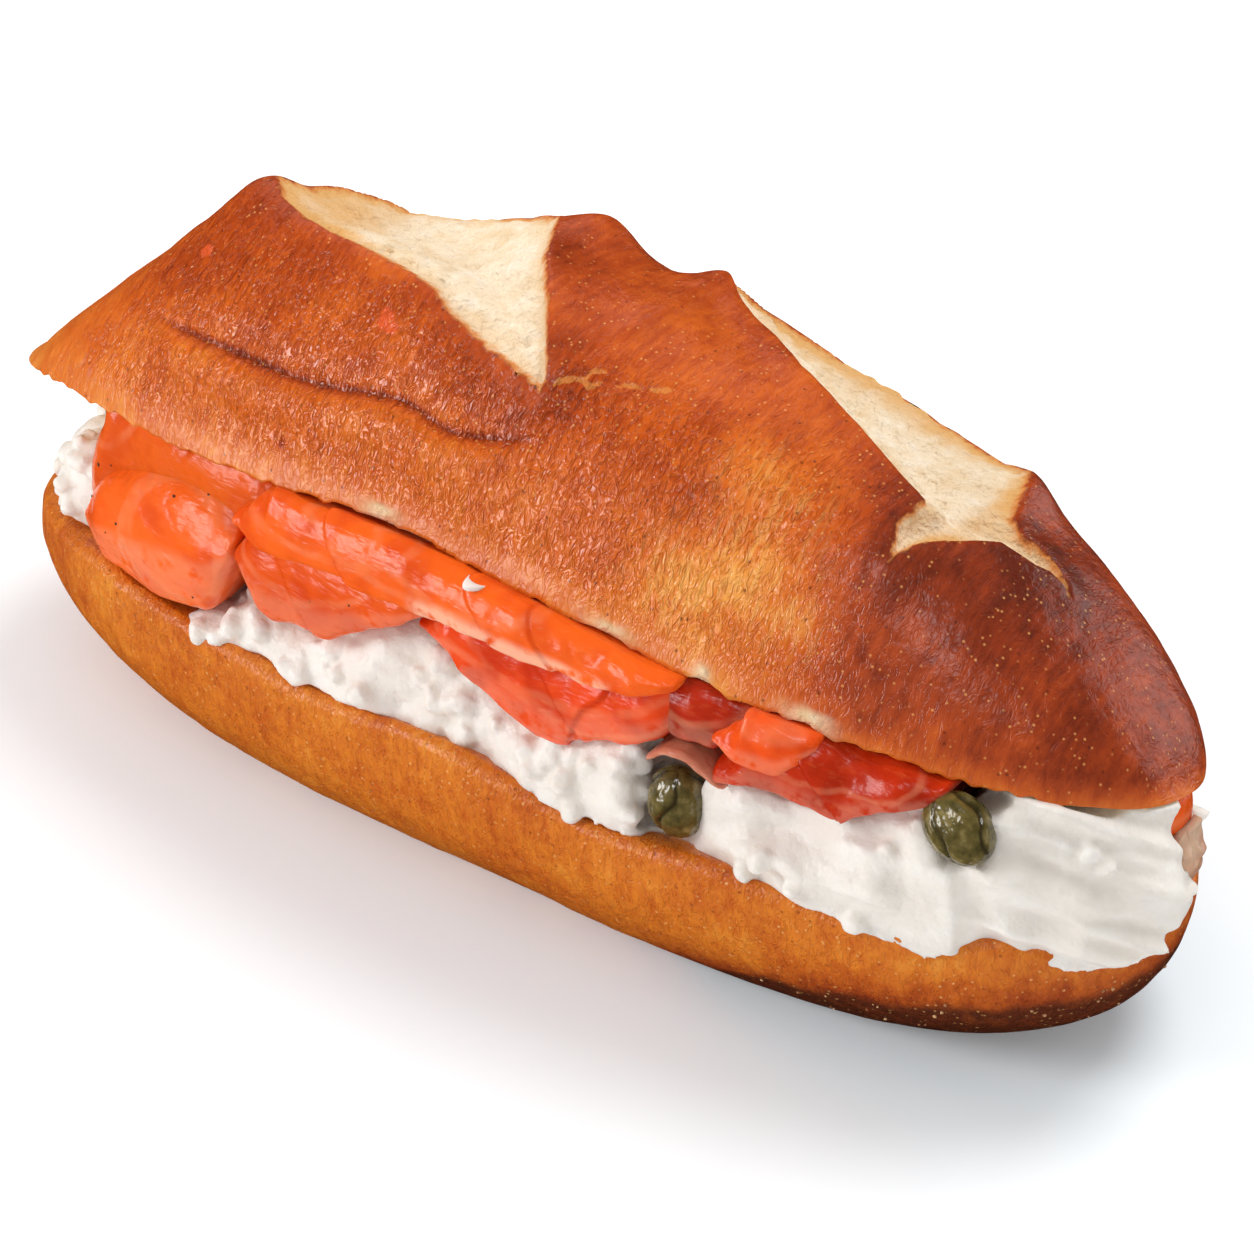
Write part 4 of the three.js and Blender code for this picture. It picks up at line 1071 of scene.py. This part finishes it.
def crust_top_finish():
    recipe = Recipe("top_crust_finish", Specular_IOR_Level=0.4)
    face, wrinkle, toast = (recipe.field(name) for name in ("face", "wrinkle", "toast"))
    coarse, fine = recipe.mottle(11, 2), recipe.mottle(2.6, 3)
    across = recipe.stretch((1.7, 0.8, 0.8))
    streaks = recipe.mottle(2.2, 3, recipe.stretch((2.6, 0.45, 0.45)))
    skin = ridged(recipe, 1.5, across, 1.6)
    tone = toast + (coarse - 0.5) * 0.36 + (fine - 0.5) * 0.34 + (streaks - 0.5) * 0.4
    # painted highlight: the crests of the fine ridges are made lighter, most in the wrinkled zone
    tone = tone - (skin - 0.35) * (wrinkle * 0.08 + 0.05)
    stops = [(0.0, rgb(238, 152, 64)), (0.2, rgb(222, 116, 36)), (0.4, rgb(208, 94, 24)),
             (0.6, rgb(180, 70, 18)), (0.8, rgb(144, 50, 13)), (1.0, rgb(104, 34, 11))]
    colour = recipe.ramp(tone, stops)
    mark = recipe.step(recipe.field("mark") + (fine - 0.5) * 0.9, 0.4, 0.75)
    colour = recipe.blend(mark * 0.8, colour, rgb(230, 92, 44))
    gilt = recipe.field("gold") * recipe.step(streaks, 0.46, 0.62)
    colour = recipe.blend(gilt * 0.7, colour, rgb(246, 176, 88))
    specks = recipe.step(recipe.spots(1.0), 0.24, 0.1) * recipe.step(fine, 0.4, 0.6)
    colour = recipe.blend(specks * 0.6, colour, rgb(240, 170, 96))
    pores = recipe.step(recipe.spots(2.3), 0.13, 0.05)
    colour = recipe.blend(pores * 0.6, colour, rgb(86, 32, 14))
    crack = recipe.step(recipe.field("crack") + (fine - 0.5) * 1.8, 0.42, 0.15)
    colour = recipe.blend(crack * 0.4, colour, rgb(238, 164, 82))

    depth = recipe.field("crumb") + (recipe.mottle(1.3, 3) - 0.5) * 1.1
    crumb_tone = fine * 0.6 + coarse * 0.5
    crumb = recipe.ramp(crumb_tone, [(0.35, rgb(232, 202, 160)), (0.6, rgb(243, 222, 192)),
                                     (0.8, rgb(248, 234, 214))])
    pits = recipe.step(recipe.spots(1.5), 0.3, 0.12) * recipe.step(fine, 0.4, 0.55)
    crumb = recipe.blend(pits * 0.2, crumb, rgb(220, 176, 124))
    browned = recipe.step(depth, 3.2, 0.2) * 0.55 + recipe.field("rear")
    browned = browned * recipe.step(crumb_tone, 0.8, 0.3, 0.75, 1.0)
    crumb = recipe.blend(recipe.step(browned, 0, 1), crumb, rgb(226, 172, 104))
    crumb = recipe.blend(recipe.step(depth, 0.8, 0.1), crumb, rgb(214, 128, 54))
    open_crumb = recipe.step(depth, -0.1, 0.3)
    cut = recipe.ramp(fine, [(0.3, rgb(226, 184, 130)), (0.7, rgb(244, 218, 180))])
    colour = recipe.blend(open_crumb, colour, crumb)
    colour = recipe.blend(face, colour, cut)
    soft = recipe.node("ShaderNodeMath", {"operation": "MAXIMUM"}, {0: face, 1: open_crumb})
    rough = (0.32 - wrinkle * 0.13) * (1 - soft) + soft * 0.85
    holes = recipe.relief(recipe.mottle(1.0, 3) * soft, 0.9)
    bump = recipe.relief(skin * (wrinkle * 0.8 + 0.2) * (1 - soft), 0.19, holes)
    bump = recipe.relief(recipe.mottle(1.1, 0.5) * (1 - soft), 0.1, bump)
    return recipe.surface(Base_Color=colour, Roughness=rough, Normal=bump)


def crust_base_finish():
    recipe = Recipe("bottom_crust_finish", Specular_IOR_Level=0.3, Roughness=0.34)
    face, burnt = recipe.field("face"), recipe.field("burnt")
    coarse, fine = recipe.mottle(12, 2), recipe.mottle(2.4, 3)
    streaks = recipe.mottle(2.4, 3, recipe.stretch((2.2, 1, 0.4)))
    skin = ridged(recipe, 1.2, recipe.stretch((1.5, 1, 0.8)), 1.2)
    tone = 0.48 + (coarse - 0.5) * 0.7 + (fine - 0.5) * 0.5 + (streaks - 0.5) * 0.5
    # painted highlight: the crests of the fine ridges are made lighter
    tone = tone - (skin - 0.35) * 0.12
    stops = [(0.0, rgb(236, 158, 62)), (0.3, rgb(222, 124, 30)), (0.6, rgb(200, 96, 20)),
             (0.85, rgb(172, 72, 16)), (1.0, rgb(146, 54, 14))]
    tone = tone + recipe.field("browned") * 0.42
    colour = recipe.ramp(tone, stops)
    colour = recipe.blend(burnt * recipe.step(fine, 0.2, 0.6, 0.75, 1.0), colour, rgb(96, 42, 20))
    specks = recipe.step(recipe.spots(1.1), 0.24, 0.1) * recipe.step(fine, 0.4, 0.6)
    colour = recipe.blend(specks * 0.6, colour, rgb(246, 190, 116))
    pores = recipe.step(recipe.spots(2.0), 0.15, 0.06)
    colour = recipe.blend(pores * 0.6, colour, rgb(130, 56, 18))
    cut = recipe.ramp(fine, [(0.3, rgb(236, 196, 140)), (0.7, rgb(252, 228, 188))])
    colour = recipe.blend(face, colour, cut)
    bump = recipe.relief(skin, 0.1)
    bump = recipe.relief(recipe.mottle(1.1, 0.5), 0.07, bump)
    return recipe.surface(Base_Color=colour, Normal=bump)


def cheese_finish():
    recipe = Recipe("soft_cheese_finish", Subsurface_Weight=0.3, Subsurface_Scale=0.003,
                    Subsurface_Radius=(1.0, 0.9, 0.75), Roughness=0.4, IOR=1.4,
                    Specular_IOR_Level=0.4)
    tone = recipe.mottle(6, 4)
    colour = recipe.ramp(tone, [(0.3, rgb(236, 228, 218)), (0.7, rgb(245, 240, 233))])
    bump = recipe.relief(recipe.mottle(1.3, 2), 0.3)
    return recipe.surface(Base_Color=colour, Normal=bump)


def salmon_finish(name, flesh, deep, arcs):
    """Flesh with pale fat lines: each arc is a sphere's centre and radius, with the line's
    width, all in millimetres."""
    recipe = Recipe(name, Subsurface_Weight=0.25, Subsurface_Scale=0.002,
                    Subsurface_Radius=(1.0, 0.3, 0.12), Roughness=0.24, IOR=1.4,
                    Specular_IOR_Level=0.4)
    waver = (recipe.mottle(8, 3) - 0.5) * 3.0
    patchy = recipe.step(recipe.mottle(5, 2), 0.3, 0.6)
    fibres = recipe.mottle(1.1, 3, recipe.stretch((0.35, 1.4, 1.4)), 0.6)
    colour = recipe.blend(recipe.step(recipe.mottle(6, 2), 0.3, 0.6) * 0.65 + 0.35, deep, flesh)
    colour = recipe.blend(recipe.step(fibres, 0.5, 0.8) * 0.14, colour, rgb(250, 140, 76))
    fat = 0.0
    for x, y, z, radius, width in arcs:
        sockets = {0: recipe.place, 1: (x * MM, y * MM, z * MM)}
        settings = {"operation": "DISTANCE"}
        away = recipe.node("ShaderNodeVectorMath", settings, sockets, "Value") / MM - radius
        away = recipe.node("ShaderNodeMath", {"operation": "ABSOLUTE"}, {0: away + waver})
        fat = recipe.step(away, width * 3.4, 0) + fat
    colour = recipe.blend(recipe.step(fat, 0, 1) * (patchy * 0.8 + 0.2) * FAT_SHARE, colour,
                          rgb(250, 178, 132))
    # painted shade: the slice's deep colour along the lines where one layer lies on the next
    colour = recipe.blend(recipe.field("seam") * 0.6, colour, deep)
    film = recipe.field("film") * recipe.step(recipe.mottle(2.5, 3), 0.3, 0.5)
    colour = recipe.blend(film * 0.7, colour, rgb(252, 200, 168))
    bump = recipe.relief(fibres, 0.14, recipe.relief(recipe.mottle(3.0, 1.5), 0.45))
    return recipe.surface(Base_Color=colour, Normal=bump)


def grain_finish(name, dark, light):
    """Finish of small loose grains."""
    recipe = Recipe(name, Roughness=0.5)
    return recipe.surface(Base_Color=recipe.ramp(recipe.mottle(3, 2), [(0.4, dark), (0.6, light)]))


def caper_finish():
    recipe = Recipe("caper_finish", Roughness=0.2, Specular_IOR_Level=0.75)
    colour = recipe.ramp(recipe.mottle(1.6, 4), [(0.3, rgb(70, 62, 28)), (0.55, rgb(108, 94, 48)),
                                                 (0.75, rgb(154, 136, 86))])
    # painted shade: near-black lines in the grooves between the sepals
    colour = recipe.blend(recipe.field("seam") * 0.8, colour, rgb(42, 34, 14))
    bump = recipe.relief(recipe.mottle(1.0, 1), 0.2)
    return recipe.surface(Base_Color=colour, Normal=bump)


# ---- stage ---------------------------------------------------------------------------
# light boxes: name, direction (as the view's), distance and size in metres, power, and
# whether they light the surface and whether they show in its gloss
LIGHTS = [
    ("key", 168, 62, 1.3, 0.8, 9.5, True, False),
    ("fill", -46, 28, 1.1, 0.4, 5.0, True, True),
    ("belly_sheen", -34, 10, 1.1, 0.4, 3.8, False, True),
    ("dome_sheen", 14, 64, 1.2, 0.3, 2.4, False, True),
    ("right_sheen", 154, 6, 1.3, 1.0, 3.4, False, True),
    ("crest_sheen", -130, 34, 1.3, 1.0, 1.6, False, True),
]


def direction(azimuth, elevation):
    """Towards an azimuth, turned from the open side to the right, and an elevation."""
    return Vector((math.sin(azimuth) * math.cos(elevation),
                   -math.cos(azimuth) * math.cos(elevation), math.sin(elevation)))


def area_light(name, azimuth, elevation, distance, size, power, lights, glossy):
    light = bpy.data.lights.new(name, "AREA")
    light.shape = "DISK"
    light.size = size
    light.energy = power
    lamp = bpy.data.objects.new(name, light)
    lamp.visible_diffuse = lights
    lamp.visible_glossy = glossy
    lamp.location = direction(math.radians(azimuth), math.radians(elevation)) * distance
    aim = Vector(VIEW_AIM) * MM - lamp.location
    lamp.rotation_euler = aim.to_track_quat("-Z", "Y").to_euler()
    bpy.context.scene.collection.objects.link(lamp)


FLOOR_SIZE = 8
FLOOR_DROP = 0.0002


def studio():
    bpy.ops.mesh.primitive_plane_add(size=FLOOR_SIZE, location=(0, 0, -FLOOR_DROP))
    floor = bpy.context.object
    floor.name = "floor"
    recipe = Recipe("floor_finish", Roughness=0.9, Emission_Color=(1, 1, 1, 1),
                    Emission_Strength=0.12)
    # painted light: the floor is a cooler white near the roll, to cancel the orange light that the
    # crust throws onto it, and plain white further out
    flat = {0: recipe.stretch((1.0, 1.8, 1.0))}
    away = recipe.node("ShaderNodeVectorMath", {"operation": "LENGTH"}, flat, "Value")
    floor.data.materials.append(recipe.surface(Base_Color=recipe.ramp(
        recipe.step(away, 0.05, 0.15), [(0, rgb(232, 243, 249)), (1, rgb(250, 250, 250))])))
    floor.visible_glossy = False
    world = bpy.data.worlds.new("studio")
    bpy.context.scene.world = world
    world.use_nodes = True
    world.node_tree.nodes["Background"].inputs["Color"].default_value = (1.0, 1.0, 1.0, 1)
    world.node_tree.nodes["Background"].inputs["Strength"].default_value = 0.6
    world.cycles_visibility.glossy = False
    for light in LIGHTS:
        area_light(*light)
    bpy.context.scene.view_settings.view_transform = "Standard"


def camera():
    lens = bpy.data.cameras.new("camera")
    lens.sensor_width = SENSOR
    lens.lens = SENSOR * VIEW_DISTANCE * PIXELS_PER_MM / IMAGE_SIZE
    lens.shift_x = (IMAGE_SIZE / 2 - AIM_PIXEL[0]) / IMAGE_SIZE
    lens.shift_y = (AIM_PIXEL[1] - IMAGE_SIZE / 2) / IMAGE_SIZE
    lens.clip_start = 0.01
    seen = bpy.data.objects.new("camera", lens)
    toward = direction(VIEW_AZIMUTH, VIEW_ELEVATION)
    seen.location = (Vector(VIEW_AIM) + VIEW_DISTANCE * toward) * MM
    seen.rotation_euler = toward.to_track_quat("Z", "Y").to_euler()
    bpy.context.scene.collection.objects.link(seen)
    bpy.context.scene.camera = seen


# ---- the roll ------------------------------------------------------------------------
camera()
studio()
base = dress(bottom_half(), crust_base_finish(), "crust_base", "bottom_half")
toasted = grain_finish("crust_grain_finish", rgb(150, 80, 40), rgb(224, 176, 124))
dress(scatter("crust_grains", base, toasted, (0.1, 0.3), 9, 1, 21), toasted, "crust_base")
dress(top_half(), crust_top_finish(), "crust_top", "top_half")
soft = cheese_finish()
block = cheese()
curdled = scatter("curdled", block, soft, (0.8, 1.9), 8, 3, 5, stuck=True)
bpy.data.objects.remove(block)
dress(melted("cheese_spread", curdled, CHEESE_GRID, 3, 0.5), soft, "soft_cheese", "soft_cheese")
dress(upper_cheese(), soft, "soft_cheese", "soft_cheese_upper")
ORANGE, AMBER = rgb(246, 100, 24), rgb(218, 66, 10)
ROSE, RED = rgb(236, 74, 16), rgb(190, 38, 4)
# painted shade: deep reds for the dark slice, made darker for the shade under the top half
SHADE_DARK, SHADED = rgb(186, 42, 10), rgb(116, 20, 4)
FLESH = {
    "salmon_big_fold": (ORANGE, AMBER, [
        (-50.7, -28.6, 37.2, 8.4, 0.4), (-50.7, -28.6, 37.2, 10, 0.35),
        (-46, -30, 34, 15, 0.3)]),
    "salmon_back_sheet": (rgb(228, 94, 18), rgb(206, 66, 8), [(-80, -20, 60, 22, 0.3)]),
    "salmon_long_fold": (ORANGE, AMBER, [
        (-30, -30, 80, 34, 0.3), (-10, -30, 90, 43, 0.35), (10, -30, 90, 46, 0.3)]),
    "salmon_lower_fold": (rgb(230, 84, 14), rgb(204, 56, 6), [(-30, -30, 60, 21, 0.3)]),
    "salmon_middle_slice": (ROSE, RED, [(8, -30, 70, 31, 0.35), (14, -30, 60, 23, 0.3)]),
    "salmon_dark_slice": (SHADE_DARK, SHADED, [(30, -30, 60, 16, 0.3)]),
    "salmon_small_fold": (rgb(240, 84, 16), RED, [(42, -30, 60, 13, 0.5)]),
    # painted shade: the right sheet's reds are made darker for the shade under the top half
    "salmon_right_sheet": (rgb(196, 46, 6), rgb(150, 26, 3), [(50, -30, 70, 28, 0.2)]),
    "salmon_skin_strip": (rgb(196, 118, 92), rgb(150, 76, 52), [(30, -30, 36, 3.6, 0.4)]),
}
# flecks of pepper for every square centimetre of a slice
PEPPERED = {"salmon_big_fold": 1.6, "salmon_lower_fold": 2.4, "salmon_long_fold": 0.7,
            "salmon_back_sheet": 1.2, "salmon_middle_slice": 0.5}
SLOTS = {"salmon_middle_slice": "salmon_red", "salmon_dark_slice": "salmon_red",
         "salmon_skin_strip": "salmon_skin"}
pepper = grain_finish("pepper_finish", rgb(44, 28, 14), rgb(92, 60, 30))
flecks = []
for seed, (node, sizes) in enumerate(SALMON.items()):
    finish = salmon_finish(node.replace("salmon", "slice") + "_finish", *FLESH[node])
    slice_piece = dress(salmon_slice(node, **sizes), finish, SLOTS.get(node, "salmon_orange"), node)
    if node in PEPPERED:
        flecks.append(scatter("flecks", slice_piece, pepper, (0.1, 0.26), PEPPERED[node], 1, seed))
dress(joined("pepper_flecks", flecks), pepper, None)
dress(end_tip(), salmon_finish("slice_end_finish", ORANGE, AMBER, [(81, 4, 20, 14, 0.4)]),
      "salmon_orange", "salmon_end_tip")
dress(end_skin(), salmon_finish("slice_end_skin_finish", rgb(206, 172, 146), rgb(176, 120, 96),
                                [(84, 4, 20, 8, 0.4)]), "salmon_skin")
# painted shade: the deeper layers get near-black reds to stand for the shade in the gaps between the
# folds
dress(inner_layers_in_shade(), salmon_finish("slice_inner_shade_finish", rgb(150, 30, 8), rgb(84, 14, 4),
                                    [(0, 0, 0, 50, 0.3)]), "salmon_red")
green = caper_finish()
dress(caper("caper_bud_left", np.array([28.4, -24.8, 29.6]), 4.1, 5.0, (0.05, -0.1, 1)),
      green, "caper", "caper_left")
dress(caper("caper_bud_right", np.array([66.3, -20.6, 40.9]), 3.9, 4.9, (0.79, 0, -0.61)),
      green, "caper", "caper_right")
